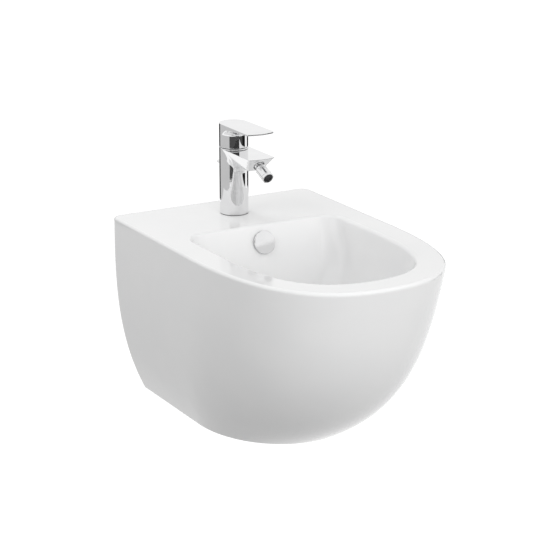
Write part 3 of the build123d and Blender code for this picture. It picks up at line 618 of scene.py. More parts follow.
def overflowPlace(lift=0):
    normal = Vector((0, -1, rearLean)).normalized()
    centre = Vector((0, -bowl["rear"] - rearLean * overflow["drop"], rimLevel - overflow["drop"]))
    return axisPlace(centre + normal * lift, normal, (0, 0, -1))


def roundedOutline(halfX, low, high, corner, steps=6):
    outline = []
    for cx, cy, start in ((halfX - corner, high - corner, 0), (corner - halfX, high - corner, 90),
                          (corner - halfX, low + corner, 180), (halfX - corner, low + corner, 270)):
        for i in range(steps + 1):
            angle = radians(start + 90 * i / steps)
            outline.append((cx + corner * cos(angle), cy + corner * sin(angle)))
    return outline


def makeCeramic(finish):
    basinDepth = bowl["depth"] + bowl["floor"]
    ductRear = bowl["rear"] - bidetBody["wall"] - 16
    ductFront = ductRear + 15
    roof, floorLevel = bowl["depth"] + 7, basinDepth - 5
    top = bidetBody["deck"] + 2
    inner = wasteReach - waste["hole"] + 1
    duct = [
        (ductFront + rearLean * top, -top), (ductRear + rearLean * top, -top),
        (ductRear + rearLean * floorLevel, -floorLevel), (inner, -floorLevel), (inner, -roof),
        (ductFront + rearLean * roof, -roof),
    ]
    # side's own y points up: the duct's heights are negated, a known fault, so it cuts nothing
    side = axisPlace((0, 0, rimLevel), (-1, 0, 0), (0, -1, 0))
    wallward = axisPlace((0, 0, 0), (0, -1, 0), (1, 0, 0))
    upright = axisPlace((0, tapPlace["y"], rimLevel))
    drain = axisPlace((0, waste["y"], rimLevel))
    window = roundedOutline(bidetBody["windowWidth"] / 2, -320, bidetBody["windowTop"],
                            bidetBody["windowCorner"])
    cutters = [
        ceramicCavity(),
        cylinderMesh(tapPlace["hole"], -bidetBody["deck"] - 3, 2, upright),
        cylinderMesh(waste["hole"], -basinDepth - 3, -bowl["depth"] + 3, drain),
        cylinderMesh(overflow["hole"], -16, 6, overflowPlace()),
        prismMesh([(x, -y) for x, y in duct], -overflow["ductHalf"], overflow["ductHalf"], side),
        prismMesh(window, -1, bidetBody["web"] + 1, wallward),
    ]
    for direction in (-1, 1):
        hole = axisPlace((direction * bidetBody["fixingSpacing"] / 2, 0, 0), (0, -1, 0), (1, 0, 0))
        cutters.append(cylinderMesh(bidetBody["fixingHole"], -1, bidetBody["web"] + 1, hole))
    shell = carve(ceramicShell(), cutters)
    return addMesh("ceramicBody", shell, finish, "root", ("ceramic_body",), 34)


# mixer body: a column with a spout that is cut to a V

mixer = {
    "radius": 23, "foot": 0.8, "top": 108, "spoutTop": 107, "spoutReach": 94, "spoutUnder": 84,
    "blendFoot": 68, "chinReach": 71, "chinHalf": 12.5, "bow": 3, "edge": 0.6,
    "cartridgeBore": 12.8, "nutBore": 16.5, "nutFoot": 97, "skirtBore": 19.2, "skirtFoot": 104,
    "cartridgeFoot": 65, "inletPlace": 8, "inletBore": 5, "inletDepth": 12, "studPlace": 11, "stud": 4,
    "slotWidth": 4.4, "slotLow": 70.7, "slotHigh": 101.3, "shaftFar": 21.7,
    "chinNarrowing": 5.3, "bowStart": 39, "bowSpan": 32, "noseCorner": 2.0, "join": 7,
    "shaftHalf": 2.5, "shaftNear": 12, "shaftTop": 62, "upperShaftHalf": 2.4, "upperShaftNear": 17.3,
    "upperShaftTop": 102,
}
nozzle = {
    "reach": 77, "height": 95, "ball": 7.5, "socketSlope": 8, "slope": 24.1, "length": 37, "radius": 9,
    "bore": 8.95, "neck": 5, "start": 11,
}
tapCentre = (0, tapPlace["y"], rimLevel)
upright = axisPlace(tapCentre)


def softMin(a, b, blend):
    if blend <= 0:
        return min(a, b)
    overlap = max(blend - abs(a - b), 0) / blend
    return min(a, b) - overlap * overlap * blend / 4


def softMax(a, b, blend):
    return -softMin(-a, -b, blend)


def offsetCircle(angle, reach, bend):
    # distance to an arc of radius bend whose furthest point lies straight ahead at reach
    centre = reach - bend
    return centre * cos(angle) + sqrt(max(bend * bend - (centre * sin(angle)) ** 2, 0))


def forwardAngles(fine, fineTo, middle, coarse):
    # angles round an upright axis, closest together straight ahead
    half = []
    angle = 0
    while angle < 179.9:
        half.append(angle)
        angle += fine if angle < fineTo else middle if angle < 96 else coarse
    return [radians(a) for a in half] + [pi] + [radians(-a) for a in reversed(half[1:])]


def spoutShape(angle, row):
    reach, height = row[0], row[1]
    inset = row[2] if len(row) > 2 else 0
    column = min(mixer["radius"], row[3]) if len(row) > 3 else mixer["radius"]
    angle = abs((angle + pi) % (2 * pi) - pi)
    if reach <= mixer["radius"] or angle >= pi / 2:
        return min(column, reach) if reach <= mixer["radius"] else column
    if height >= mixer["spoutUnder"]:
        rise = (height - mixer["spoutUnder"]) / (mixer["spoutTop"] - mixer["spoutUnder"])
        half = mixer["chinHalf"] + (mixer["radius"] - mixer["chinHalf"]) * rise
    else:
        drop = (mixer["spoutUnder"] - height) / (mixer["spoutUnder"] - mixer["blendFoot"])
        half = mixer["chinHalf"] - mixer["chinNarrowing"] * drop
    half -= inset
    bendTip = mixer["radius"] ** 2 / (2 * mixer["bow"]) + mixer["bow"] / 2
    share = min(1, max(0, (reach - mixer["bowStart"]) / mixer["bowSpan"]))
    front = offsetCircle(angle, reach, reach + (bendTip - reach) * share)
    side = half / max(sin(angle), 1e-6)
    corner = min(mixer["noseCorner"], 0.3 * (reach - mixer["radius"]))
    spout = softMin(front, side, corner)
    join = max(0, min(mixer["join"], mixer["radius"] - half - 0.4, 0.45 * (reach - mixer["radius"])))
    return softMax(column, spout, join)


def makeMixer(finish):
    size = mixer
    radius, edge = size["radius"], size["edge"]
    rows = [(2, size["foot"]), (radius - 0.5, size["foot"]), (radius - 0.15, size["foot"] + 0.15),
            (radius, size["foot"] + 0.5)]
    rows += [(radius, 10 + 58 * i / 6) for i in range(7)]
    blend = size["spoutUnder"] - size["blendFoot"]
    for i in range(1, 17):
        angle = pi / 2 * i / 16
        rows.append((radius + blend - blend * cos(angle), size["blendFoot"] + blend * sin(angle)))
    rows[-1] = (radius + blend, size["spoutUnder"])
    rows += [(radius + blend + (size["chinReach"] - radius - blend) * i / 5,
              size["spoutUnder"]) for i in range(1, 6)]
    chinTop = size["spoutTop"] - 1.5
    for i in range(13):
        share = (i + 0.25) / 12.25
        rows.append((size["chinReach"] + 0.2 + (size["spoutReach"] - 1.2 - size["chinReach"]) * share,
                     size["spoutUnder"] + (chinTop - size["spoutUnder"]) * share))
    rows.append((size["spoutReach"], size["spoutTop"] - 0.9))
    for i in range(5):
        angle = pi / 2 * i / 4
        shrink = edge * (1 - cos(angle))
        rows.append((size["spoutReach"] - shrink, size["spoutTop"] - edge + edge * sin(angle), shrink,
                     radius))
    rows.append((radius + 4, size["spoutTop"], edge, radius))
    rows.append((radius, size["spoutTop"]))
    rows += [(radius, size["top"] - 0.4), (radius - 0.12, size["top"] - 0.12), (radius - 0.4, size["top"]),
             (2, size["top"])]
    body = meshOf(*turned(rows, upright, forwardAngles(0.8, 34, 1.6, 4), spoutShape))
    cutters = [
        cylinderMesh(size["cartridgeBore"], size["cartridgeFoot"] - 0.8, size["nutFoot"] + 1, upright),
        cylinderMesh(size["nutBore"], size["nutFoot"], size["skirtFoot"] + 1, upright),
        cylinderMesh(size["skirtBore"], size["skirtFoot"], size["top"] + 2, upright, 128),
    ]
    for x in (-size["inletPlace"], size["inletPlace"]):
        riser = axisPlace((x, tapPlace["y"] + 1, rimLevel))
        cutters.append(cylinderMesh(size["inletBore"], -1, size["inletDepth"], riser))
        cutters.append(cylinderMesh(3, size["inletDepth"] - 1, size["cartridgeFoot"], riser, 32))
    cutters.append(cylinderMesh(size["stud"] + 0.05, -1, size["inletDepth"],
                                axisPlace((0, tapPlace["y"] - size["studPlace"], rimLevel))))
    far = tapPlace["y"] + size["shaftFar"]
    for half, near, low, high in (
        (size["shaftHalf"], size["shaftNear"], -1, size["shaftTop"]),
        (size["upperShaftHalf"], size["upperShaftNear"], size["shaftTop"] - 2, size["upperShaftTop"]),
    ):
        cutters.append(boxMesh((-half, tapPlace["y"] + near, rimLevel + low), (half, far, rimLevel + high)))
    slotPlace = axisPlace((0, far - 1, rimLevel), (0, 1, 0), (0, 0, 1))
    slotOutline = roundedOutline(size["slotWidth"] / 2, size["slotLow"], size["slotHigh"], 2.1, 5)
    cutters.append(prismMesh([(z, x) for x, z in slotOutline], 0, 5, slotPlace))
    mouth = axisPlace(ballCentre, slopeVector(nozzle["socketSlope"]), (0, 0, -1))
    cutters.append(cylinderMesh(nozzle["bore"], -11.5, 30, mouth, 96))
    body = carve(body, cutters)
    return addMesh("mixerBody", body, finish, "root", ("mixer_body",), 30)


def slopeVector(slope):
    return Vector((0, -cos(radians(slope)), -sin(radians(slope))))


ballCentre = (0, tapPlace["y"] - nozzle["reach"], rimLevel + nozzle["height"])


# handle: a cap that flares into a flat lever

lever = {
    "radius": 23, "foot": 109.2, "top": 147, "reach": 93.5, "flareFoot": 128.5, "flare": 11.5, "tip": 2.6,
    "widen": 1 / 88, "bow": 5.5, "tipHalf": 24, "corner": 7, "edge": 0.6, "cavity": 23.2, "pivot": 96,
    "relief": 9, "grub": 124, "spindle": 7.1,
}


def leverShape(angle, row):
    reach = row[0]
    inset = row[2] if len(row) > 2 else 0
    angle = abs((angle + pi) % (2 * pi) - pi)
    radius = lever["radius"] - inset
    if angle >= pi / 2 or reach <= radius:
        return min(radius, reach)
    slope = sin(angle) - cos(angle) * lever["widen"]
    side = radius / slope if slope > 1e-3 else 1e4
    bendTip = lever["tipHalf"] ** 2 / (2 * lever["bow"]) + lever["bow"] / 2
    share = min(1, max(0, (reach - 34.5) / 45))
    front = offsetCircle(angle, reach, reach + (bendTip - reach) * share)
    corner = min(lever["corner"], 0.35 * (reach - radius))
    return max(softMin(front, side, corner), radius)


def makeHandle(finish):
    size = lever
    radius, edge = size["radius"], size["edge"]
    rows = [(2, size["foot"]), (radius - 0.5, size["foot"]), (radius - 0.15, size["foot"] + 0.15),
            (radius, size["foot"] + 0.5)]
    rows += [(radius, size["foot"] + 2 + (size["flareFoot"] - size["foot"] - 2) * i / 4) for i in range(5)]
    flare = size["flare"]
    for i in range(1, 17):
        angle = pi / 2 * i / 16
        rows.append((radius + flare * (1 - cos(angle)), size["flareFoot"] + flare * sin(angle)))
    under = size["top"] - size["tip"]
    start, end = radius + flare, size["reach"] - 0.8
    for i in range(1, 15):
        share = i / 14
        sag = size["flareFoot"] + flare + (under - size["flareFoot"] - flare) * (1 - (1 - share) ** 1.6)
        rows.append((start + (end - start) * share, sag))
    rows.append((size["reach"] - 0.2, under + 0.25))
    rows.append((size["reach"], under + 0.8))
    for i in range(5):
        angle = pi / 2 * i / 4
        shrink = edge * (1 - cos(angle))
        rows.append((size["reach"] - shrink, size["top"] - edge + edge * sin(angle), shrink))
    rows.append((40, size["top"], edge))
    rows.append((2, size["top"], edge))
    body = meshOf(*turned(rows, upright, forwardAngles(0.8, 34, 1.6, 3), leverShape))
    cavityRows = [(2, size["foot"] - 8)]
    for i in range(25):
        angle = radians(-20 + 108 * i / 24)
        cavityRows.append((size["cavity"] * cos(angle), size["pivot"] + size["cavity"] * sin(angle)))
    cavityRows[1:] = [row for row in cavityRows[1:] if row[1] > size["foot"] - 8]
    # the relief's heights are negated below, a known fault, so it misses the cap
    relief = [(0, 0), (0, 1.2), (-radius - 2, 1.2 + size["relief"]), (-radius - 2, 0)]
    side = axisPlace((0, tapPlace["y"], rimLevel + size["foot"] - 1.2), (-1, 0, 0), (0, -1, 0))
    screw = axisPlace((0, tapPlace["y"] + 3.5, rimLevel + size["grub"]), (0, 1, 0), (0, 0, 1))
    square = size["spindle"] / 2
    cutters = [
        meshOf(*turned(cavityRows, upright, evenAngles(96))),
        prismMesh([(x, -y) for x, y in relief], -30, 30, side),
        prismMesh([(-square, -square), (square, -square), (square, square), (-square, square)], 110, 128.2,
                  upright),
        cylinderMesh(2.5, 0, 25, screw, 40),
        cylinderMesh(3.5, radius - 6.5, radius + 2, screw, 48),
    ]
    body = carve(body, cutters)
    return addMesh("handleLever", body, finish, "handle", ("handle",), 30)


def makeDome(finish):
    outer, thick = 22.6, 1.5
    skirt, skirtFoot, hole = 19.1, 104, 12
    rows = [(skirt, skirtFoot), (skirt, 107.6)]
    for i in range(13):
        share = i / 12
        x = skirt + (hole - skirt) * share
        rows.append((x, lever["pivot"] + sqrt(outer ** 2 - x ** 2)))
    for i in range(13):
        share = i / 12
        x = hole + (skirt - thick - hole) * share
        rows.append((x, lever["pivot"] + sqrt((outer - thick) ** 2 - x ** 2)))
    rows.append((skirt - thick, skirtFoot))
    return addPiece("sealingDome", *turned(rows, upright, evenAngles(96), None, True), finish, "root",
                    "satin_chrome",
                    ("cartridge_dome",))


# swivel nozzle

def makeNozzle(chrome, black):
    place = axisPlace(ballCentre, slopeVector(nozzle["slope"]), (0, 0, -1))
    seat = axisPlace(ballCentre, slopeVector(nozzle["socketSlope"]), (0, 0, -1))
    length, radius, start, neck = nozzle["length"], nozzle["radius"], nozzle["start"], nozzle["neck"]
    sleeve = [
        (neck + 0.05, start), (radius - 1.6, start), (radius - 1.6, start + 1.2), (radius, start + 1.2),
        (radius, length - 4.6), (radius - 0.35, length - 4.4), (radius - 0.35, length - 3.9),
        (radius, length - 3.7),
        (radius, length), (radius - 1.4, length), (radius - 1.4, length - 11), (6, length - 11),
        (6, start + 4), (neck + 0.05, start + 4),
    ]
    addPiece("nozzleSleeve", *turned(eased(sleeve, 0.35, True), place, evenAngles(112), None, True), chrome,
             "nozzle",
             "polished_chrome", ("nozzle_sleeve",))
    ball = nozzle["ball"]
    rows = [(3.5, -sqrt(ball ** 2 - 3.5 ** 2))]
    first = pi - atan(3.5 / sqrt(ball ** 2 - 3.5 ** 2))
    last = atan(neck / sqrt(ball ** 2 - neck ** 2))
    for i in range(1, 25):
        angle = first + (last - first) * i / 24
        rows.append((ball * sin(angle), ball * cos(angle)))
    rows += [(neck, 8), (neck, start + 3.9), (neck - 0.3, start + 4), (3.5, start + 4)]
    addPiece("swivelBall", *turned(rows, place, evenAngles(80), None, True), chrome, "nozzle",
             "polished_chrome",
             ("swivel_ball",))
    ring = [(ball + 0.3, -7.9), (ball + 0.3, 0.8), (ball - 0.3, 3), (nozzle["bore"] - 0.05, 3),
            (nozzle["bore"] - 0.05, -7.9)]
    addPiece("swivelSocket", *turned(eased(ring, 0.3, True), seat, evenAngles(96), None, True), chrome,
             "root",
             "polished_chrome", ("swivel_socket",))
    # aerator: a black ring round a recessed screen with rows of holes
    screenLevel = length - 2.1
    cup = [(1, length - 10.9), (radius - 1.45, length - 10.9), (radius - 1.45, length - 0.8),
           (6.9, length - 0.5),
           (6.2, length - 0.5), (5.9, length - 0.9), (5.6, screenLevel), (1, screenLevel)]
    body = meshOf(*turned(eased(cup, 0.2), place, evenAngles(80)))
    drills = [(0, 0)]
    for ringRadius, count in ((1.5, 6), (3.0, 12), (4.5, 18)):
        drills += [(ringRadius * cos(2 * pi * i / count),
                    ringRadius * sin(2 * pi * i / count)) for i in range(count)]
    holes = [cylinderMesh(0.45, screenLevel - 1.6, length, place @ Matrix.Translation((x, y, 0)), 12) for x,
             y in drills]
    addMesh("aeratorInsert", carve(body, holes), black, "nozzle", ("aerator_insert",), 30)


# lift rod's knob, overflow cover and pop-up waste

knob = {"offset": 19.5, "height": 73, "radius": 3, "reach": 52, "shank": 1.9, "rod": 2}


def makeKnob(finish):
    place = axisPlace((0, tapPlace["y"], rimLevel + knob["height"]), (0, 1, 0), (0, 0, 1))
    start = mixer["radius"] + 1
    rows = [(0.4, knob["offset"] + knob["rod"]), (knob["shank"], knob["offset"] + knob["rod"]),
            (knob["shank"], start),
            (knob["radius"], start), (knob["radius"], start + 7), (knob["radius"] - 0.45, start + 7.3),
            (knob["radius"] - 0.45, start + 8.3), (knob["radius"], start + 8.6),
            (knob["radius"], knob["reach"]), (0.4, knob["reach"])]
    addPiece("liftKnob", *turned(eased(rows, 0.9, False, 5), place, evenAngles(48)), finish, "lift_rod",
             "polished_chrome", ("lift_knob",))


def makeOverflowCover(finish):
    place = overflowPlace()
    gap, thick, radius = overflow["gap"], overflow["thickness"], overflow["cover"]
    disc = [(1, gap), (radius - 0.8, gap), (radius, gap + 0.6), (radius, gap + thick - 0.7),
            (radius - 0.7, gap + thick), (1, gap + thick)]
    face = meshOf(*turned(eased(disc, 0.5, False, 4), place, evenAngles(128)))
    outer, inner = overflow["bore"] - 1, overflow["bore"] - 2.5
    tube = [(outer, -11), (outer, gap + 0.4), (inner, gap + 0.4), (inner, -11)]
    stem = meshOf(*turned(tube, place, evenAngles(64), None, True))
    slots = []
    for turn in (0, pi / 2):
        spin = place @ Matrix.Rotation(turn, 4, "Z")
        slots.append(prismMesh([(-10, -2.5), (10, -2.5), (10, 2.5), (-10, 2.5)], -12, gap, spin))
    legs = carve(stem, slots)
    addMesh("overflowCover", carve(face, [legs], "UNION"), finish, "root",
            ("overflow_cover",), 30)


wasteSizes = {
    "flange": 31.5, "tube": 20, "tubeFoot": -203, "tail": 16, "tailTop": -238, "tailFoot": -292,
    "plug": 20.5, "pitch": 2.3, "collar": 0.4, "collarFoot": -250,
}


def makeWaste(chrome, brass, plugNode):
    drain = axisPlace((0, waste["y"], rimLevel))
    depth, tube, foot = bowl["depth"], wasteSizes["tube"], wasteSizes["tubeFoot"]
    flange = wasteSizes["flange"]
    rows = [(tube - 2, foot), (tube, foot)]
    rows += threadRows(tube, foot + 0.6, -depth - 6, wasteSizes["pitch"])
    rows += [(tube, -depth + 1.5), (flange - 0.4, -depth + 1.5), (flange, -depth + 2), (flange, -depth + 2.6)]
    for i in range(1, 9):
        angle = pi / 2 * i / 8
        rows.append((flange - 5 * sin(angle), -depth + 2.6 + 1.9 * sin(angle)))
    rows += [(flange - 8, -depth + 4.1), (tube + 1.6, -depth + 3.3), (tube - 0.6, -depth + 2.2),
             (tube - 2, -depth + 0.5)]
    low, high = foot, -depth - 6
    body = meshOf(*turned(rows, drain, evenAngles(96), threadShape(wasteSizes["pitch"], 0.9, low, high),
                          True))
    slot = roundedOutline(8, -3.5, 3.5, 3)
    ports = [prismMesh(slot, -40, 40,
                       axisPlace((0, waste["y"], rimLevel - depth - 11), (0, -1, 0), (1, 0, 0)))]
    addMesh("wasteFlange", carve(body, ports), chrome, "root", ("waste_flange",), 30)
    # lock nut with eight flats; the knurled nut of the tailpiece is made with the fixings
    top = -depth - bowl["floor"] - 5
    nutRows = [(tube + 0.1, top - 9), (27, top - 9, True), (27, top - 8.4, True), (27, top - 7, True),
               (27, top - 2, True),
               (27, top - 0.6, True), (27, top, True), (tube + 0.1, top)]
    addPiece("wasteNut", *turned(nutRows, drain, evenAngles(160), hexShape(54, top - 9, top, 8), True),
             brass, "root",
             "raw_brass", ("waste_nut",), 24)
    addPlug(chrome, plugNode, drain)


def addPlug(chrome, plugNode, drain):
    low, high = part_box(plugNode)
    top = high.z / mm - rimLevel
    bottom = low.z / mm - rimLevel
    radius = wasteSizes["plug"]
    eye = bottom + 8
    dome = [(0.5, top), (6, top - 0.15), (12, top - 0.62), (radius - 3, top - 1.5), (radius - 1.2, top - 2.2),
            (radius - 0.3, top - 3), (radius, top - 3.8), (radius - 3.4, top - 7.3), (radius - 5, top - 7.5),
            (3, top - 7.5),
            (3, top - 9), (3, eye + 6), (0.5, eye + 6)]
    cap = meshOf(*turned(eased(dome, 0.5, False, 3), drain, evenAngles(96)))
    outline = roundedOutline(5, -8, 8, 2.2)
    side = axisPlace((0, waste["y"], rimLevel + eye), (1, 0, 0), (0, -1, 0))
    fork = prismMesh([(x, z) for x, z in outline], -6, 6, side)
    stemmed = carve(cap, [fork], "UNION")
    opening = prismMesh(roundedOutline(3.5, -3.2, 3.2, 1.2), -9, 9,
                        axisPlace((0, waste["y"], rimLevel + eye), (0, -1, 0), (0, 0, 1)))
    addMesh("wastePlug", carve(stemmed, [opening]), chrome, "plug", ("plug",), 30)


# fixings under the deck and the tailpiece

def makeFixings(steel, brass, satin):
    place = axisPlace((0, tapPlace["y"] - mixer["studPlace"], rimLevel))
    rows = [(0.3, -60), (mixer["stud"] - 0.7, -60), (mixer["stud"], -59.2)]
    rows += threadRows(mixer["stud"], -59, -0.5, 1.25, 6)
    rows += [(mixer["stud"], 0.5), (mixer["stud"], 11.4), (mixer["stud"] - 0.6, 12), (0.3, 12)]
    addPiece("fixingStud", *turned(rows, place, evenAngles(32), threadShape(1.25, 0.6, -60, -0.2)), steel,
             "root",
             "plated_steel", ("fixing_stud",), 40)
    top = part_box("stud_nut")[1].z / mm - rimLevel
    nutRows = [(4.05, top - 6.5), (4.6, top - 6.5), (6.2, top - 6.5, True), (6.5, top - 6.1, True),
               (6.5, top - 5.4, True),
               (6.5, top - 1.1, True), (6.5, top - 0.4, True), (6.2, top, True), (4.6, top),
               (4.05, top - 0.5)]
    addPiece("studNut", *turned(nutRows, place, evenAngles(96), hexShape(13, top - 6.5, top), True), brass,
             "root",
             "raw_brass", ("stud_nut",), 24)
    drain = axisPlace((0, waste["y"], rimLevel))
    size = wasteSizes
    collar = size["tail"] + size["collar"]
    tailRows = [(size["tail"] - 1.5, size["tailFoot"]), (size["tail"], size["tailFoot"]),
                (size["tail"], size["collarFoot"]),
                (collar, size["collarFoot"]), (collar, size["tailTop"] - 3),
                (size["tail"] + 2.8, size["tailTop"] - 3), (size["tail"] + 2.8, size["tailTop"]),
                (size["tail"] - 1.5, size["tailTop"])]
    addPiece("tailPipe", *turned(eased(tailRows, 0.5, True), drain, evenAngles(96), None, True), satin,
             "root",
             "satin_chrome", ("tailpiece",))
    low, high = size["tailTop"] - 10, size["tailTop"] + 3

    def gripped(angle, row):
        if len(row) < 3:
            return row[0]
        edge = min(row[1] - low, high - row[1])
        groove = max(0, cos(8 * angle)) ** 6
        return min(row[0] - 2.0 * groove, row[0] - 1.2 + edge)

    nutRows = [(collar + 0.1, low), (23, low, True), (23, low + 0.6, True), (23, low + 1.3, True),
               (23, high - 1.3, True),
               (23, high - 0.6, True), (23, high, True), (19.1, high), (19.1, size["tailTop"] - 3),
               (collar + 0.1, size["tailTop"] - 3)]
    addPiece("tailNut", *turned(nutRows, drain, evenAngles(192), gripped, True), brass, "root", "raw_brass",
             ("tail_nut",), 24)


def makeBaseSeal(finish):
    radius = mixer["radius"] - 0.5
    rows = [(radius - 2, 0), (radius, 0), (radius, 0.8), (radius - 2, 0.8)]
    addPiece("baseSeal", *turned(eased(rows, 0.25, True), upright, evenAngles(96), None, True), finish,
             "root",
             "black_rubber", ("base_seal",))


print("finishes")
whiteGlaze = glazeFinish()
polishedChrome = metalFinish("polishedChrome", (0.83, 0.83, 0.835, 1), (0.8, 0.802, 0.807, 1), 0.025, 0.05,
                             0.00002)
satinChrome = metalFinish("satinChrome", (0.78, 0.785, 0.79, 1), (0.7, 0.705, 0.71, 1), 0.16, 0.1, 0.00005,
                          0.5)
platedSteel = metalFinish("platedSteel", (0.66, 0.66, 0.63, 1), (0.5, 0.5, 0.47, 1), 0.28, 0.15, 0.00008, 0.6)
turnedBrass = metalFinish("turnedBrass", (0.8, 0.64, 0.36, 1), (0.6, 0.45, 0.24, 1), 0.24, 0.14, 0.00008, 1.0)
blackRubber = mouldedFinish("blackRubber", (0.035, 0.035, 0.036, 1), (0.02, 0.02, 0.021, 1), 0.62, 0.0001)
whitePlastic = mouldedFinish("whitePlastic", (0.8, 0.8, 0.78, 1), (0.74, 0.74, 0.72, 1), 0.42, 0.00006)
greyPlastic = mouldedFinish("greyPlastic", (0.46, 0.47, 0.48, 1), (0.4, 0.41, 0.42, 1), 0.45, 0.00006)
blackPlastic = mouldedFinish("blackPlastic", (0.03, 0.03, 0.032, 1), (0.015, 0.015, 0.016, 1), 0.3, 0.00005)

slotFinishes = {
    "glazed_ceramic": whiteGlaze, "polished_chrome": polishedChrome, "satin_chrome": satinChrome,
    "plated_steel": platedSteel, "raw_brass": turnedBrass, "black_rubber": blackRubber,
    "white_plastic": whitePlastic, "grey_plastic": greyPlastic, "black_plastic": blackPlastic,
}
for part in frame["record"]["subparts"]:
    node = cadNodes[part["node"]]
    node.data.materials.clear()
    node.data.materials.append(slotFinishes[part["material_slot"]])

print("ceramic body")
makeCeramic(whiteGlaze)
print("mixer")
makeMixer(polishedChrome)
makeHandle(polishedChrome)
makeDome(satinChrome)
makeNozzle(polishedChrome, blackPlastic)
makeKnob(polishedChrome)
makeBaseSeal(blackRubber)
print("waste and fixings")
makeOverflowCover(polishedChrome)
makeWaste(polishedChrome, turnedBrass, "plug")
makeFixings(platedSteel, turnedBrass, satinChrome)

# stage, light and camera

studio = {
    "floor": -0.92, "floorTone": 0.2, "floorGlow": 0.92, "ambient": 0.62, "backdrop": 1.0,
    # lamps: place, size and power
    "lamps": {
        "keyLamp": ((-0.1, -2.5, 0.6), 1.6, 29),
        "fillLamp": ((-1.8, -0.5, 1.6), 1.6, 12),
        "sideLamp": ((2.2, -1.2, 0.8), 1.4, 4),
        "backLamp": ((-0.4, 1.6, 1.2), 1.2, 15),
    },
    # cards for the reflections: first and last angle, lowest and highest level, tone
    "cardRadius": 0.75,
    "cards": {
        "leftCard": (-160, -62, -0.095, 0.12, 0.62),
        "frontCard": (-62, 44, -0.05, 0.12, 0.08),
        "frontCardHigh": (-62, 16, 0.3, 0.52, 0.05),
        "rightCard": (44, 72, -0.095, 0.12, 0.01),
        "farCard": (100, 150, -0.095, 0.12, 0.015),
        "backCard": (150, 200, -0.095, 0.12, 0.015),
    },
    "discCard": {"away": 0.6, "half": 0.08, "low": -0.12, "edge": 0.0089, "slope": 0.124, "tone": 0.77},
}
view = {"azimuth": -29.925, "elevation": 17.315, "place": (-1.433864, -2.718200, 0.901846), "lens": 124.8,
        "sensor": 36}


def lookingAhead():
    azimuth, elevation = radians(view["azimuth"]), radians(view["elevation"])
    return Vector((-sin(azimuth) * cos(elevation), cos(azimuth) * cos(elevation), -sin(elevation)))


def emissiveFinish(name, tone):
    finish = bpy.data.materials.new(name)
    finish.use_nodes = True
    tree = finish.node_tree
    tree.nodes.clear()
    glow = tree.nodes.new("ShaderNodeEmission")
    glow.inputs["Color"].default_value = (tone, tone, tone, 1)
    out = tree.nodes.new("ShaderNodeOutputMaterial")
    link(tree, glow.outputs[0], out.inputs["Surface"])
    return finish


def addCard(name, points, faces, tone):
    # a studio card that only shows in reflections
    mesh = bpy.data.meshes.new(name)
    mesh.from_pydata(points, [], faces)
    mesh.materials.append(emissiveFinish(name, tone))
    card = bpy.data.objects.new(name, mesh)
    bpy.context.scene.collection.objects.link(card)
    card.visible_camera = False
    card.visible_diffuse = False
    card.visible_shadow = False


def makeCards():
    steps = 24
    radius = studio["cardRadius"]
    for name, (start, end, low, high, tone) in studio["cards"].items():
        points = []
        for level in (low, high):
            for i in range(steps + 1):
                angle = radians(start + (end - start) * i / steps)
                points.append((radius * sin(angle), tapPlace["y"] * mm - radius * cos(angle), level))
        addCard(name, points, [(i, i + 1, steps + 2 + i, steps + 1 + i) for i in range(steps)], tone)
    # the card whose edge crosses the overflow's cover
    size = studio["discCard"]
    face = overflowPlace(overflow["gap"] + overflow["thickness"])
    centre = face.translation * mm
    normal = (face.to_3x3() @ Vector((0, 0, 1))).normalized()
    ahead = lookingAhead()
    bounced = ahead - 2 * ahead.dot(normal) * normal
    across = Vector((1, 0, 0))
    upward = across.cross(normal)
    upward = upward if upward.z > 0 else -upward
    points = []
    for x, level in ((-1, size["low"]), (1, size["low"]), (1, size["edge"] + size["slope"] * size["half"]),
                     (-1, size["edge"] - size["slope"] * size["half"])):
        points.append(centre + bounced * size["away"] + across * x * size["half"] + upward * level)
    addCard("discCard", points, [(0, 1, 2, 3)], size["tone"])


def seenDirectly(tree):
    # 1 for rays from the camera, and for those that metal and glass send on
    path = tree.nodes.new("ShaderNodeLightPath")
    seen = mathNode(tree, "MAXIMUM", path.outputs["Is Camera Ray"], path.outputs["Is Glossy Ray"])
    return mathNode(tree, "MAXIMUM", seen, path.outputs["Is Transmission Ray"])


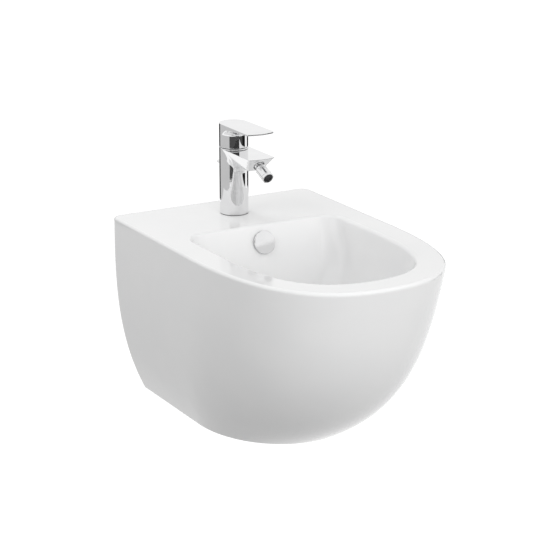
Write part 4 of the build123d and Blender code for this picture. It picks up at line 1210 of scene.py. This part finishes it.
def makeFloor():
    mesh = bpy.data.meshes.new("floor")
    half = 12
    mesh.from_pydata([(-half, -half, 0), (half, -half, 0), (half, half, 0), (-half, half, 0)], [],
                     [(0, 1, 2, 3)])
    floor = bpy.data.objects.new("floor", mesh)
    floor.location.z = studio["floor"]
    bpy.context.scene.collection.objects.link(floor)
    finish, tree, shader = newFinish("paleFloor", {"Roughness": 0.7, "Specular IOR Level": 0.1})
    tone = studio["floorTone"]
    shader.inputs["Base Color"].default_value = (tone, tone, tone, 1)
    glow = tree.nodes.new("ShaderNodeEmission")
    link(tree, mathNode(tree, "MULTIPLY", seenDirectly(tree), studio["floorGlow"]), glow.inputs["Strength"])
    both = tree.nodes.new("ShaderNodeAddShader")
    link(tree, shader.outputs[0], both.inputs[0])
    link(tree, glow.outputs[0], both.inputs[1])
    link(tree, both.outputs[0], tree.nodes["Material Output"].inputs["Surface"])
    mesh.materials.append(finish)


def makeWorld():
    world = bpy.data.worlds.new("studioAir")
    bpy.context.scene.world = world
    world.use_nodes = True
    tree = world.node_tree
    tree.nodes.clear()
    out = tree.nodes.new("ShaderNodeOutputWorld")
    plain = tree.nodes.new("ShaderNodeBackground")
    plain.inputs["Strength"].default_value = studio["ambient"]
    white = tree.nodes.new("ShaderNodeBackground")
    white.inputs["Strength"].default_value = studio["backdrop"]
    for shade in (plain, white):
        shade.inputs["Color"].default_value = (1, 1, 1, 1)
    mix = tree.nodes.new("ShaderNodeMixShader")
    link(tree, seenDirectly(tree), mix.inputs[0])
    link(tree, plain.outputs[0], mix.inputs[1])
    link(tree, white.outputs[0], mix.inputs[2])
    link(tree, mix.outputs[0], out.inputs["Surface"])


def areaLamp(name, place, size, power, target=(0, -0.25, 0)):
    data = bpy.data.lights.new(name, "AREA")
    data.shape = "SQUARE"
    data.size = size
    data.energy = power
    lamp = bpy.data.objects.new(name, data)
    lamp.location = place
    lamp.rotation_euler = (Vector(target) - Vector(place)).to_track_quat("-Z", "Y").to_euler()
    lamp.visible_glossy = False
    bpy.context.scene.collection.objects.link(lamp)


def makeCamera():
    data = bpy.data.cameras.new("photoView")
    data.sensor_width = view["sensor"]
    data.lens = view["lens"]
    data.clip_end = 50
    camera = bpy.data.objects.new("photoView", data)
    camera.location = view["place"]
    camera.rotation_euler = lookingAhead().to_track_quat("-Z", "Y").to_euler()
    bpy.context.scene.collection.objects.link(camera)
    bpy.context.scene.camera = camera


print("stage, light and camera")
makeFloor()
makeWorld()
makeCards()
for name, (place, size, power) in studio["lamps"].items():
    areaLamp(name, place, size, power)
makeCamera()
bpy.context.scene.view_settings.view_transform = "Standard"
